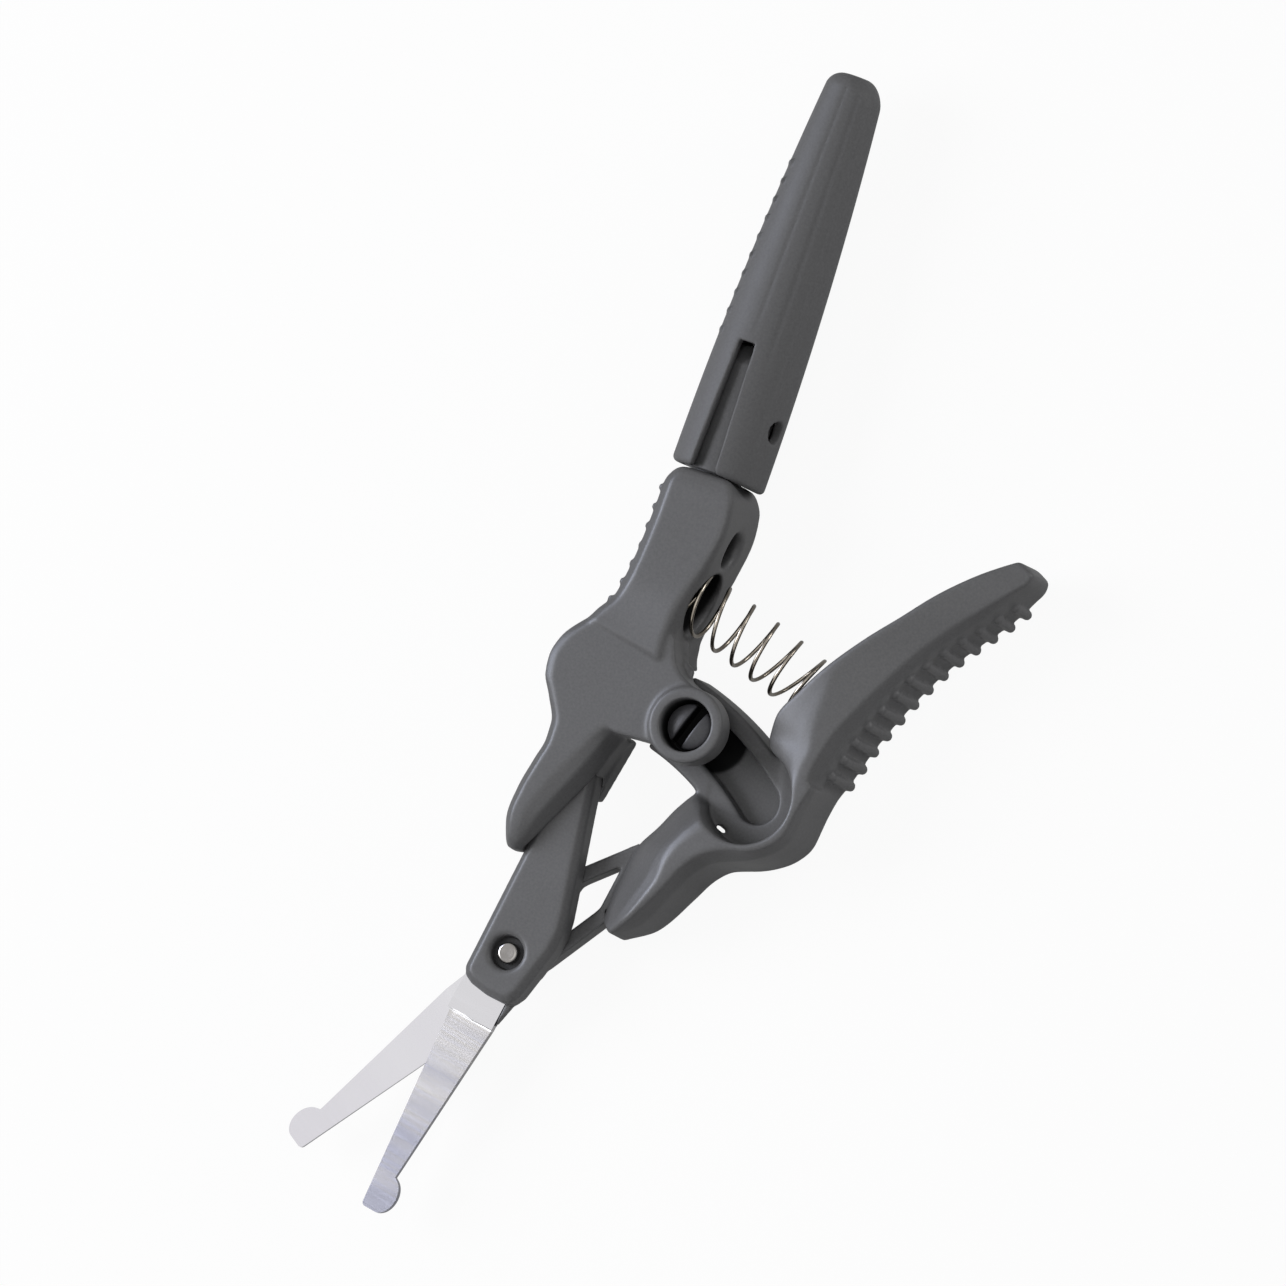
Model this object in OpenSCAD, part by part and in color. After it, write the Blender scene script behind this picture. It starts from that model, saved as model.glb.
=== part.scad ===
// Spring-loaded thread snips: a handle, a squeeze lever, two blades on one rivet,
// a guide pin in a curved groove, and a capped seam ripper on the end of the grip.
// Drawn round the blade pivot: +Y runs up the handle, +Z faces the front, z = 0 is the back.

/* [Blades] */
// Distance from the pivot to the centre of the round blade tip
blade_reach = 35.4; // [33:0.1:40]
// Radius of the round blade tip
blade_tip_r = 1.95; // [1.5:0.05:2.2]
// Thickness of each blade
blade_t = 1.2; // [0.8:0.1:1.4]
// Width of the blade from its centre line to the cutting edge at the shoulder
blade_edge_w = 4.15; // [3.6:0.05:4.3]
// Width of the blade from its centre line to its back at the shoulder
blade_back_w = 2.4; // [2:0.1:2.8]
// Angle of the front blade from straight down
front_blade_angle = 9.5; // [8:0.1:11]
// Angle of the rear blade from straight down, with the lever let go
rear_blade_angle = 33; // [30:0.1:36]

/* [Pivot] */
// Diameter of the rivet's shank
rivet_d = 2.2; // [1.8:0.1:2.6]
// Diameter of the rivet's heads
rivet_head_d = 2.8; // [2.6:0.1:3.4]
// Height of the rivet's front head
rivet_head_h = 1.4; // [1:0.05:1.5]
// Height of the rivet's rear head
rivet_tail_h = 0.65; // [0.4:0.05:0.8]
// Diameter of the recess round the rivet's head
recess_d = 4.5; // [4.2:0.1:5]
// Thickness of the washer under each rivet head
washer_t = 0.3; // [0.2:0.05:0.4]
// Height of the plane where the blades meet, above the back
contact_z = 5.6; // [5.4:0.1:6]
// Thickness of the front blade's holder
front_holder_t = 4.15; // [3.8:0.05:4.5]
// Thickness of the rear blade's holder
rear_holder_t = 3.3; // [3:0.1:3.5]
// Thickness of the rear holder's two bars, seen from the front
bar_w = 1.9; // [1.4:0.1:2.1]
// Diameter of the dowels that hold the blade holders
dowel_d = 2; // [1.5:0.1:2.4]

/* [Guide] */
// Radius of the guide groove about the pivot
guide_r = 38.1; // [37.8:0.1:38.6]
// Direction of the guide pin from the pivot
guide_angle = 68.4; // [67.6:0.1:69]
// Angle the lever turns through when squeezed
squeeze_angle = 18; // [12:1:18]
// Width of the guide arm
arm_w = 11; // [10.4:0.1:11.2]
// Height of the guide arm's front above the back
arm_t = 6.8; // [6.4:0.1:7]
// Height of the guide groove's floor above the back
groove_floor = 4.4; // [3:0.1:5]
// Gap between the guide arm and the lobe in front of it
arm_gap = 1.3; // [0.4:0.1:1.5]
// Width of the guide groove
groove_w = 5.7; // [5.5:0.1:6]
// Outer diameter of the boss round the guide pin
boss_d = 10; // [9.6:0.1:10.4]
// Diameter of the boss's counterbore
boss_bore_d = 7; // [6.6:0.1:7.4]
// Diameter of the guide pin's head
pin_head_d = 6; // [5.8:0.1:6.4]
// Diameter of the guide pin's shank and nose
pin_d = 5; // [4.4:0.1:5.2]
// Depth of the pin head's top below the boss's rim
pin_sink = 2.3; // [1.5:0.1:2.6]
// Width of the slot across the pin's head
pin_slot_w = 1.3; // [0.9:0.1:1.6]
// Radius of the lever's cup, which clears the boss when squeezed
cup_r = 6.4; // [6.1:0.1:6.6]

/* [Handle] */
// Height of the lobe's front face
lobe_z = 13.2; // [12.8:0.1:13.6]
// Height of the boss's rim
boss_z = 14.2; // [13.8:0.1:14.6]
// Height of the grip's front face
grip_z = 13.8; // [13.4:0.1:14.4]
// Height of the edge where the grip's face ends above the lobe
step_z = 14.8; // [14.4:0.1:15.2]
// Height of the grip's top end above the pivot
grip_top_y = 67.5; // [66:0.1:69]
// Diameter of the blind hole in the grip's side
side_hole_d = 4.6; // [3.6:0.1:5]
// Depth of that hole
side_hole_depth = 2.6; // [1.5:0.1:2.8]
// Height of one rib on the grip's side
grip_rib_h = 0.7; // [0.4:0.05:0.9]
// Distance between ribs, on the grip and on the lever
rib_pitch = 2.65; // [2.4:0.05:3]

/* [Lever] */
// Height of the lever's front
lever_z = 13.6; // [13:0.1:14.2]
// Height of one rib on the lever's finger pad
lever_rib_h = 0.65; // [0.4:0.05:0.9]
// Length of the lever's ribs from front to back
lever_rib_len = 8.4; // [7:0.1:8.6]

/* [Spring] */
// Outer diameter of the spring
spring_d = 8.2; // [7.6:0.1:8.6]
// Diameter of the spring's wire
wire_d = 0.55; // [0.45:0.05:0.7]
// Distance between the spring's open turns
spring_pitch = 4; // [3.6:0.1:4.4]
// Depth of the spring's socket in the grip
socket_depth = 7; // [6:0.1:7.4]
// Depth of the spring's seat in the lever
seat_depth = 1.5; // [1.2:0.1:1.8]

/* [Cap and seam ripper] */
// Length of the cap
cap_len = 54.8; // [54:0.1:60]
// Outer radius of the cap at its mouth
cap_mouth_r = 6.4; // [6.2:0.05:6.8]
// How much the cap's radius shrinks towards its end
cap_taper = 2.8; // [2.4:0.05:3]
// Wall of the cap
cap_wall = 1.5; // [1.2:0.05:1.7]
// Length of the slot in the cap's mouth
cap_slot_len = 17.4; // [12:0.1:22]
// Width of the slot at the mouth
cap_slot_mouth = 3.5; // [2.8:0.1:4]
// Width of the slot at its closed end
cap_slot_end = 2.2; // [1.6:0.1:2.6]
// Diameter of the hole in the cap's side
cap_hole_d = 3; // [2:0.1:3.4]
// Length of the spigot that the cap sits on
spigot_len = 15; // [12:0.1:17]
// Diameter of the spigot's plug inside the grip
plug_d = 6.6; // [6:0.1:7]
// Depth of the plug inside the grip
plug_len = 8.5; // [7:0.1:8.7]
// Thickness of the seam ripper's blade
ripper_t = 1; // [0.7:0.1:1.2]
// Length of the seam ripper's long prong above the grip
ripper_len = 45; // [43:0.1:48]
// Radius of the bead on the short prong
bead_r = 1.2; // [1:0.05:1.3]

/* [Hidden] */

// Clearances: parts that slide past each other, a running shaft, and pieces set in a pocket
slide_gap = 0.3;
running_gap = 0.05;
seat_gap = 0.05;
// A cut runs this far past the face that it opens
past = 1;
$fn = 64;

// The frame's origin is on the grip's back, under the middle of the grip
rest_point = [4.8, 56];

plastic = [0.36, 0.36, 0.37];
steel = [0.78, 0.78, 0.8];

// Levels
front_blade_z = contact_z + seat_gap;
rear_blade_z = contact_z - seat_gap - blade_t;
front_holder_top = front_blade_z + front_holder_t;
rear_holder_top = contact_z - seat_gap;
rear_holder_z = rear_holder_top - rear_holder_t;
recess_depth = washer_t + rivet_head_h + 0.5;
front_recess_z = front_holder_top - recess_depth;
rear_recess_depth = washer_t + rivet_tail_h + running_gap + 0.1;
rear_recess_z = rear_holder_z + rear_recess_depth;
pocket_z = arm_t + arm_gap;
boss_floor_z = pocket_z + 1.6;
horn_z = front_blade_z + 0.1;
back_plate_z = 2.6;

// Guide
guide_pos = guide_r * [cos(guide_angle), sin(guide_angle)];
cup_angle = guide_angle - squeeze_angle;
cup_pos = guide_r * [cos(cup_angle), sin(cup_angle)];
// The arm lies a little further in than its groove
arm_in_r = guide_r - arm_w / 2 - 0.35;
arm_out_r = arm_in_r + arm_w;
// The groove's round ends stand clear of the pin's nose at both ends of the travel
groove_slack = 0.5;
arm_end_wall = 2.2;
arm_end_angle = guide_angle + (groove_w / 2 + arm_end_wall) * 180 / PI / guide_r;
arm_root_angle = 44;

// Seam ripper axis
ripper_x = 4.65;
ripper_z = 7.1;
cap_gap = 0.3;
cap_mouth_y = grip_top_y + cap_gap;
spigot_r = cap_mouth_r - cap_wall - slide_gap;

// Spring axis: from the mouth of its socket towards the lever
spring_mouth = [9, 51];
spring_angle = -15;
spring_z = 7.6;
// The spring dips towards the lever's back
spring_dip = 8;
spring_reach = 19.1;
socket_d = spring_d + 0.5;
spring_start = 0.1 - socket_depth;
spring_end = spring_reach + seat_depth - 0.1;

// Places of the dowels
front_dowel = [0.9, 27.3];
rear_dowel = [12.8, 14];

// Points along a circle's arc
function arc(centre, r, from, to, steps) =
    [for (i = [0:steps]) let (a = from + (to - from) * i / steps) centre + r * [cos(a), sin(a)]];

// An outline drawn counter-clockwise, with every side moved outwards
function side_normal(a, b) = [b[1] - a[1], a[0] - b[0]] / norm(b - a);
function grown(p, by) = [for (i = [0:len(p) - 1])
    let (n = side_normal(p[(i + len(p) - 1) % len(p)], p[i]), m = side_normal(p[i], p[(i + 1) % len(p)]))
    p[i] + by * (n + m) / (1 + n * m)];

// A solid skinned over rings of equally many points
module loft(rings) {
    n = len(rings[0]);
    last = len(rings) - 1;
    points = [for (r = rings) for (p = r) p];
    sides = [for (i = [0:last - 1]) for (j = [0:n - 1])
        [i * n + j, i * n + (j + 1) % n, (i + 1) * n + (j + 1) % n, (i + 1) * n + j]];
    start = [[for (j = [n - 1:-1:0]) j]];
    end = [[for (j = [0:n - 1]) last * n + j]];
    polyhedron(points, concat(start, sides, end), convexity = 6);
}

// A flat plate with a chamfer round its front edge
module chamfered_plate(outline, z0, z1, chamfer) {
    inner = grown(outline, -chamfer);
    loft([[for (i = [len(outline) - 1:-1:0]) [outline[i][0], outline[i][1], z0]],
        [for (i = [len(outline) - 1:-1:0]) [outline[i][0], outline[i][1], z1 - chamfer]],
        [for (i = [len(outline) - 1:-1:0]) [inner[i][0], inner[i][1], z1]]]);
}

// A flat ring sector about the pivot
module sector(r0, r1, from, to, z0, z1) {
    translate([0, 0, z0])
        linear_extrude(z1 - z0)
            polygon(concat(arc([0, 0], r1, from, to, 24), arc([0, 0], r0, to, from, 24)));
}

module at_spring(along) {
    translate([spring_mouth[0], spring_mouth[1], spring_z])
        rotate([0, spring_dip, spring_angle])
            translate([along, 0, 0])
                rotate([0, 90, 0])
                    children();
}

module on_ripper_axis(y) {
    translate([ripper_x, y, ripper_z])
        rotate([-90, 0, 0])
            children();
}

// Blades: drawn along their own length, with the cutting edge on the +y side
blade_shoulder = 9.9;
blade_tang = 3.2;
blade_neck = blade_reach - 2.4;
function blade_outline() = [
    [-blade_tang, -blade_back_w + 0.2],
    [blade_shoulder, -blade_back_w],
    [blade_neck, -0.35],
    [blade_reach, 0],
    [blade_reach + blade_tip_r - 0.05, -0.1],
    [blade_reach + blade_tip_r - 0.05, blade_tip_r + 0.1],
    [blade_shoulder + 1.2, blade_edge_w],
    [blade_shoulder, blade_edge_w + 0.3],
    [4.6, blade_edge_w + 0.3],
    [3.4, 2.4],
    [-blade_tang, 2.2]];

module blade_shape(by = 0) {
    polygon(grown(blade_outline(), by));
    translate([blade_reach, 0])
        circle(blade_tip_r + by);
}

module front_blade_place() {
    rotate(-90 - front_blade_angle)
        mirror([0, 1])
            children();
}

module rear_blade_place() {
    rotate(-90 - rear_blade_angle)
        children();
}

// The ground face runs down to a thin cutting edge
blade_edge_t = 0.3;
grind_angle = atan((blade_t - blade_edge_t) / (blade_edge_w + blade_back_w));
module blade_solid(ground_up) {
    difference() {
        linear_extrude(blade_t)
            blade_shape();
        translate([blade_shoulder, blade_edge_w + 0.1, ground_up ? blade_edge_t : blade_t - blade_edge_t])
            rotate([ground_up ? -grind_angle : grind_angle, 0, -4.6])
                translate([0, -8, ground_up ? 0 : -past - blade_t])
                    cube([blade_reach, 10, past + blade_t]);
        translate([0, 0, -past])
            cylinder(d = rivet_d + 2 * running_gap, h = blade_t + 2 * past);
    }
}

module front_blade() {
    color(steel)
        translate([0, 0, front_blade_z])
            front_blade_place()
                blade_solid(true);
}

module rear_blade() {
    color(steel)
        translate([0, 0, rear_blade_z])
            rear_blade_place()
                blade_solid(false);
}

// Front holder: a kite-shaped plate whose tang lies in the handle's horn
front_outline = [[-4.5, -4.5], [-3.4, -5.3], [-0.9, -6.1], [1.4, -6.4], [2.6, -6.1], [3.5, -4.9], [5.9, 2],
    [6.3, 4.4], [6.2, 6.6], [5.1, 14], [4.1, 20.5], [3.3, 26], [2.7, 30], [-0.1, 30], [-1, 24], [-2.6, 13.3],
    [-4.9, -3.4]];
front_chamfer = 0.9;

module front_holder() {
    color(plastic)
        difference() {
            chamfered_plate(front_outline, front_blade_z, front_holder_top, front_chamfer);
            translate([0, 0, front_blade_z - past])
                linear_extrude(blade_t + past)
                    front_blade_place()
                        blade_shape(seat_gap);
            translate([0, 0, front_recess_z])
                cylinder(d = recess_d, h = recess_depth + past);
            cylinder(d = rivet_d + 2 * running_gap, h = front_holder_top);
            translate([front_dowel[0], front_dowel[1], 0])
                cylinder(d = dowel_d + 2 * running_gap, h = front_holder_top + past);
        }
}

// Rear holder: a disc on the pivot and a loop of thin bars out to the lever's horn
rear_disc_r = 3.9;
loop_low = [9.1, 8.4];
loop_high = [10, 17.35];
loop_inner = [4.35, 12.6];
rear_tang = [[8.6, 9.2], [13.5, 11.5], [15, 17.5], [10, 18.2]];

module bar(a, b) {
    d = (b - a) / norm(b - a) * bar_w / 2;
    polygon([a + [d[1], -d[0]], b + [d[1], -d[0]], b + [-d[1], d[0]], a + [-d[1], d[0]]]);
    translate(b)
        circle(bar_w / 2);
}

module rear_holder_shape() {
    circle(rear_disc_r);
    bar([3.6, 0.6], loop_low);
    bar(loop_high, loop_inner);
    bar([1.5, 2.5], loop_inner);
    polygon(rear_tang);
}

module rear_holder() {
    color(plastic)
        difference() {
            translate([0, 0, rear_holder_z])
                linear_extrude(rear_holder_t)
                    rear_holder_shape();
            translate([0, 0, rear_blade_z])
                linear_extrude(blade_t + past)
                    rear_blade_place()
                        blade_shape(seat_gap);
            translate([0, 0, rear_holder_z - past])
                cylinder(d = recess_d, h = rear_recess_depth + past);
            cylinder(d = rivet_d + 2 * running_gap, h = front_holder_top);
            translate([rear_dowel[0], rear_dowel[1], 0])
                cylinder(d = dowel_d + 2 * running_gap, h = front_holder_top);
        }
}

// Rivet with a low domed head at each end, and a washer under each
module pivot_rivet() {
    tail_z = rear_recess_z - running_gap - washer_t - rivet_tail_h;
    head_z = front_recess_z + washer_t;
    color(steel) {
        rotate_extrude()
            polygon([[0, tail_z], [rivet_head_d / 2 - 0.3, tail_z], [rivet_head_d / 2, tail_z + 0.3],
                [rivet_head_d / 2, tail_z + rivet_tail_h], [rivet_d / 2, tail_z + rivet_tail_h],
                [rivet_d / 2, head_z], [rivet_head_d / 2, head_z],
                [rivet_head_d / 2, head_z + rivet_head_h - 0.3],
                [rivet_head_d / 2 - 0.3, head_z + rivet_head_h], [0, head_z + rivet_head_h]]);
    }
}

module washer(z) {
    translate([0, 0, z])
        difference() {
            cylinder(d = recess_d - 0.3, h = washer_t);
            translate([0, 0, -past])
                cylinder(d = rivet_d + 2 * running_gap, h = washer_t + 2 * past);
        }
}

module pivot_washers() {
    color(steel) {
        washer(front_recess_z);
        washer(rear_recess_z - running_gap - washer_t);
    }
}

front_dowel_top = front_holder_top + 1.4;
front_dowel_base = back_plate_z + 0.8;
module front_holder_pin() {
    color(steel)
        translate([front_dowel[0], front_dowel[1], front_dowel_base])
            cylinder(d = dowel_d, h = front_dowel_top - front_dowel_base);
}

rear_dowel_base = 0.4;
rear_dowel_top = 7.1;
module rear_holder_pin() {
    color(steel)
        translate([rear_dowel[0], rear_dowel[1], rear_dowel_base])
            cylinder(d = dowel_d, h = rear_dowel_top - rear_dowel_base);
}

// Handle stations up the Y axis: y, left, right, back, left shoulder height, crest height,
// crest's left and right ends, right shoulder height, and the station's slope across the handle
horn_foot_z = front_holder_top + 0.1;
handle_stations = [
    [13.4, -4.6, -2.4, horn_z + 1.2, 8.8, 10.6, -3.8, -3.0, horn_foot_z - 0.6, 0],
    [14.3, -5.3, -1.9, horn_z, 9.6, 12, -4.3, -3.3, horn_foot_z, 0],
    [17.5, -6, -0.3, horn_z, 10.6, lobe_z - 0.4, -4.7, -3.2, horn_foot_z, 0],
    [21, -5.65, 1.5, horn_z, 10.9, lobe_z - 0.2, -4.3, -2.2, horn_foot_z, 0],
    [25, -4.75, 3.4, horn_z, 11.1, lobe_z, -3.4, -0.4, horn_foot_z, 0],
    [28, -4.05, 4.3, horn_z, 11.2, lobe_z, -2.8, 1.2, horn_foot_z, 0],
    [30, -4.05, 4.9, horn_z, 11.3, lobe_z, -2.8, 2.2, 9.4, 0],
    [33.4, -5.5, 6, 0, 11.4, lobe_z, -4.1, 4.5, 9, 0],
    [36, -6.9, 7.4, 0, 11.5, lobe_z, -5.4, 6.2, 9, 0],
    [38.5, -7.2, 7.8, 0, 11.6, lobe_z, -5.8, 6.6, 9, 0],
    [40.5, -6.75, 8, 0, 11.7, lobe_z, -5.4, 6.8, 9.6, -0.1],
    [43.8, -4.95, 8.1, 0, 11.9, lobe_z, -3.8, 6.8, 10.6, -0.19],
    [44.3, -4.6, 8.1, 0, 12.4, step_z, -3.3, 6.9, 11.4, -0.19],
    [46, -3.4, 8.2, 0, 12.6, step_z - 0.1, -2.2, 7.2, 12, -0.12],
    [48.5, -1.75, 8.5, 0, 12.5, step_z - 0.5, -0.6, 7.8, 12.2, -0.05],
    [52, -0.8, 9, 0, 12.3, grip_z + 0.1, 0.4, 8.5, 12.2, 0],
    [56, -0.4, 9.7, 0, 12.4, grip_z, 0.8, 9.3, 12.6, 0],
    [61, -0.2, 10.3, 0, 12.5, grip_z, 1, 9.9, 12.9, 0],
    [64.5, -0.2, 9.9, 0, 12.5, grip_z, 1, 9.6, 12.9, 0],
    [66.6, 0.4, 8.8, 0.4, 12, grip_z - 0.4, 1.6, 8.6, 12.4, 0],
    [grip_top_y, 1.6, 7.8, 1.2, 11.4, grip_z - 1.2, 2.6, 7.6, 11.6, 0]];
handle_edge = 0.6;
slope_x = -2;

function handle_ring(s) = [for (p = [
    [s[1] + handle_edge, s[3]], [s[2] - handle_edge, s[3]], [s[2], s[3] + handle_edge], [s[2], s[8]],
    [s[7], s[5]], [s[6], s[5]], [s[1], s[4]], [s[1], s[3] + handle_edge]])
        [p[0], s[0] + s[9] * (p[0] - slope_x), p[1]]];

lobe_outline = [[-2, 33.6], [3.2, 33.3], [guide_pos[0] - 3.4, guide_pos[1] - 3.65], guide_pos,
    [guide_pos[0] - 0.8, guide_pos[1] + 4.9], [10.7, 41.6], [9.6, 42.7], [8.9, 44.2], [8.3, 45.8], [-2, 45.8]];
lobe_base_z = pocket_z - 2;
// The horn's back plate lies behind the tang of the front holder
back_plate = [[-2.6, 23.6], [-0.6, 22.4], [3.3, 22.4], [4, 26], [4.8, 31], [5.4, 34], [-3.6, 34], [-3, 28]];
side_hole_y = 58.9;
side_hole_x = 10;

module handle_ribs() {
    rib_len = 9.6;
    for (i = [0:6])
        translate([i < 4 ? -0.25 : -0.35 - 0.12 * pow(i - 3, 2.1), 64.2 - i * rib_pitch, grip_z - 1.4 - rib_len])
            cylinder(r = grip_rib_h, h = rib_len, $fn = 16);
}

module handle_body() {
    color(plastic)
        difference() {
            union() {
                loft([for (s = handle_stations) handle_ring(s)]);
                translate([0, 0, lobe_base_z])
                    linear_extrude(lobe_z - lobe_base_z)
                        polygon(lobe_outline);
                translate([guide_pos[0], guide_pos[1], lobe_base_z])
                    cylinder(d = boss_d, h = boss_z - lobe_base_z);
                translate([0, 0, back_plate_z])
                    linear_extrude(horn_z + 0.5 - back_plate_z)
                        polygon(back_plate);
                handle_ribs();
            }
            sector(arm_in_r - slide_gap, arm_out_r + slide_gap, guide_angle - 20,
                arm_end_angle + squeeze_angle + 0.6, -past, pocket_z);
            translate([guide_pos[0], guide_pos[1], boss_floor_z])
                cylinder(d = boss_bore_d, h = boss_z);
            translate([guide_pos[0], guide_pos[1], 0])
                cylinder(d = pin_d + 2 * seat_gap, h = boss_z);
            at_spring(-socket_depth)
                cylinder(d = socket_d, h = socket_depth + 6);
            on_ripper_axis(grip_top_y - plug_len)
                cylinder(d = plug_d + 2 * seat_gap, h = plug_len + past);
            translate([0, 0, front_blade_z - seat_gap])
                linear_extrude(front_holder_t + 2 * seat_gap)
                    polygon(grown(front_outline, seat_gap));
            translate([front_dowel[0], front_dowel[1], front_dowel_base - running_gap])
                cylinder(d = dowel_d + 2 * running_gap, h = front_dowel_top - front_dowel_base + 2 * running_gap);
            translate([side_hole_x - side_hole_depth, side_hole_y, ripper_z])
                rotate([0, 90, 0])
                    cylinder(d = side_hole_d, h = side_hole_depth + past);
        }
}

// Lever stations from the horn's tip round the cup to the lever's end: inner point, outer point,
// inner shoulder height, crest height, the crest's ends as shares of the width, outer shoulder height, back
lever_stations = [
    [[8.8, 8.2], [12.1, 6.3], 4.2, 8.6, 0.5, 0.7, 6.4, 1.2],
    [[8.6, 10.2], [16.3, 9.25], 4.3, 10.8, 0.68, 0.79, 8, 0.3],
    [[9.6, 15], [19.4, 14.5], 5.2, 12, 0.66, 0.84, 9.6, 0],
    [[10.7, 18.8], [21.15, 17.65], 5.4, 12.4, 0.55, 0.835, 9.8, 0],
    [[12.6, 22], [23.05, 19.55], 5.8, 12.6, 0.455, 0.815, 9.8, 0],
    [[14.4, 25.4], [24.8, 20.25], 6.2, 12.7, 0.425, 0.81, 9.8, 0],
    [[16.3, 27.5], [26.7, 20.9], 6.4, 12.7, 0.4, 0.79, 9.8, 0],
    [[20.6, 26.2], [29, 22.1], 8, 12.8, 0.37, 0.765, 9.8, 0],
    [[24, 26.4], [30.95, 23.7], 9, 12.8, 0.365, 0.725, 9.8, 0],
    [[26.6, 28], [32.4, 26.2], 9, 12.8, 0.36, 0.71, 9.8, 0],
    [[27.4, 30.6], [32.8, 29.95], 9, 12.9, 0.38, 0.735, 9.6, 0],
    [[26.4, 34], [33.5, 33.45], 10, 13, 0.5, 0.77, 8, 0],
    [[24.2, 37.6], [34.6, 36.65], 11, lever_z - 0.2, 0.62, 0.785, 5.5, 0],
    [[24.4, 40.2], [35.5, 39.9], 11.6, lever_z, 0.6, 0.755, 4.4, 0],
    [[26.5, 44.5], [37.55, 45.35], 12.2, lever_z, 0.5, 0.76, 4, 0],
    [[29.35, 48.9], [39.85, 50.4], 12.6, lever_z, 0.4, 0.78, 4, 0],
    [[32.8, 53.55], [42.55, 55.1], 12.8, lever_z - 0.1, 0.3, 0.76, 4, 0],
    [[36.25, 57.55], [45.35, 58.85], 12.6, lever_z - 0.4, 0.25, 0.72, 4, 0.2],
    [[39.6, 61.9], [48, 62.25], 12.1, lever_z - 0.9, 0.25, 0.73, 4.2, 0.6],
    [[43.5, 66.05], [50, 65.45], 11.4, lever_z - 1.6, 0.3, 0.78, 5, 1.2],
    [[46.3, 68.4], [50.8, 67.7], 10.6, lever_z - 2.4, 0.3, 0.82, 6, 1.8],
    [[48.6, 69.75], [50.2, 69.2], 9, lever_z - 3.8, 0.35, 0.7, 7.4, 3.2]];
// How far the outer side leans in from its foot to its shoulder
lever_flare = 0.6;
lever_edge = 0.8;
lever_round = 2;

function lever_ring(s) = let (w = s[1] - s[0], d = w / norm(w), in_back = s[0] + d * lever_edge,
        out_back = s[1] - d * lever_round, out_top = s[1] - d * lever_flare, in_crest = s[0] + w * s[4], out_crest = s[0] + w * s[5]) [
    [out_back[0], out_back[1], s[7]], [s[1][0], s[1][1], s[7] + lever_round], [out_top[0], out_top[1], s[6]],
    [out_crest[0], out_crest[1], s[3]], [in_crest[0], in_crest[1], s[3]], [s[0][0], s[0][1], s[2]],
    [s[0][0], s[0][1], s[7] + lever_edge], [in_back[0], in_back[1], s[7]]];

// The finger pad's ribs lean back with the lever's outer side
pad_points = [for (i = [12:20]) lever_stations[i][1]];
pad_ribs = 13;
pad_span = 7;
pad_lean = 13;
pad_foot_z = 1.9;
function pad_step(t) = min(floor(t), len(pad_points) - 2);
function along_pad(t) = let (k = pad_step(t)) pad_points[k] + (pad_points[k + 1] - pad_points[k]) * (t - k);
function pad_out(t) = let (k = pad_step(t)) side_normal(pad_points[k], pad_points[k + 1]);

module lever_ribs() {
    for (i = [0:pad_ribs - 1]) {
        t = i * pad_span / (pad_ribs - 1);
        translate(concat(along_pad(t), pad_foot_z))
            rotate(a = pad_lean, v = [pad_out(t)[1], -pad_out(t)[0], 0])
                cylinder(r = lever_rib_h, h = lever_rib_len, $fn = 16);
    }
}

module arm() {
    sector(arm_in_r, arm_out_r, arm_root_angle, arm_end_angle, 0, arm_t);
}

module groove() {
    from = cup_angle - groove_slack;
    to = guide_angle + groove_slack;
    sector(guide_r - groove_w / 2, guide_r + groove_w / 2, from, to, groove_floor, lever_z);
    for (a = [from, to])
        translate([guide_r * cos(a), guide_r * sin(a), groove_floor])
            cylinder(d = groove_w, h = lever_z);
}

module lever() {
    color(plastic)
        difference() {
            union() {
                loft([for (s = lever_stations) lever_ring(s)]);
                arm();
                lever_ribs();
            }
            groove();
            translate([cup_pos[0], cup_pos[1], arm_t])
                cylinder(r = cup_r, h = lever_z);
            at_spring(spring_reach - 6)
                cylinder(d = socket_d, h = 6 + seat_depth);
            translate([0, 0, rear_holder_z - seat_gap])
                linear_extrude(rear_holder_t + 2 * seat_gap) {
                    polygon(grown(rear_tang, seat_gap));
                    translate([0, 4])
                        square([10.3, 16]);
                }
            translate([rear_dowel[0], rear_dowel[1], -past])
                cylinder(d = dowel_d + 2 * running_gap, h = rear_dowel_top + running_gap + past);
        }
}

// Guide pin: a round head with a driver slot, and a plain shank whose nose runs in the groove
pin_nose_z = groove_floor + slide_gap;
pin_top_z = boss_z - pin_sink;
pin_slot_depth = 1.6;
pin_slot_angle = 65;
module guide_pin() {
    color([0.25, 0.25, 0.26])
        translate([guide_pos[0], guide_pos[1], 0])
            difference() {
                union() {
                    translate([0, 0, pin_nose_z])
                        cylinder(d = pin_d, h = boss_floor_z - pin_nose_z + seat_gap);
                    translate([0, 0, boss_floor_z])
                        cylinder(d = pin_head_d, h = pin_top_z - boss_floor_z - 0.4);
                    translate([0, 0, pin_top_z - 0.4])
                        cylinder(d1 = pin_head_d, d2 = pin_head_d - 1.2, h = 0.4);
                }
                rotate(pin_slot_angle)
                    translate([-pin_head_d, -pin_slot_w / 2, pin_top_z - pin_slot_depth])
                        cube([2 * pin_head_d, pin_slot_w, pin_slot_depth + past]);
            }
}

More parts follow.
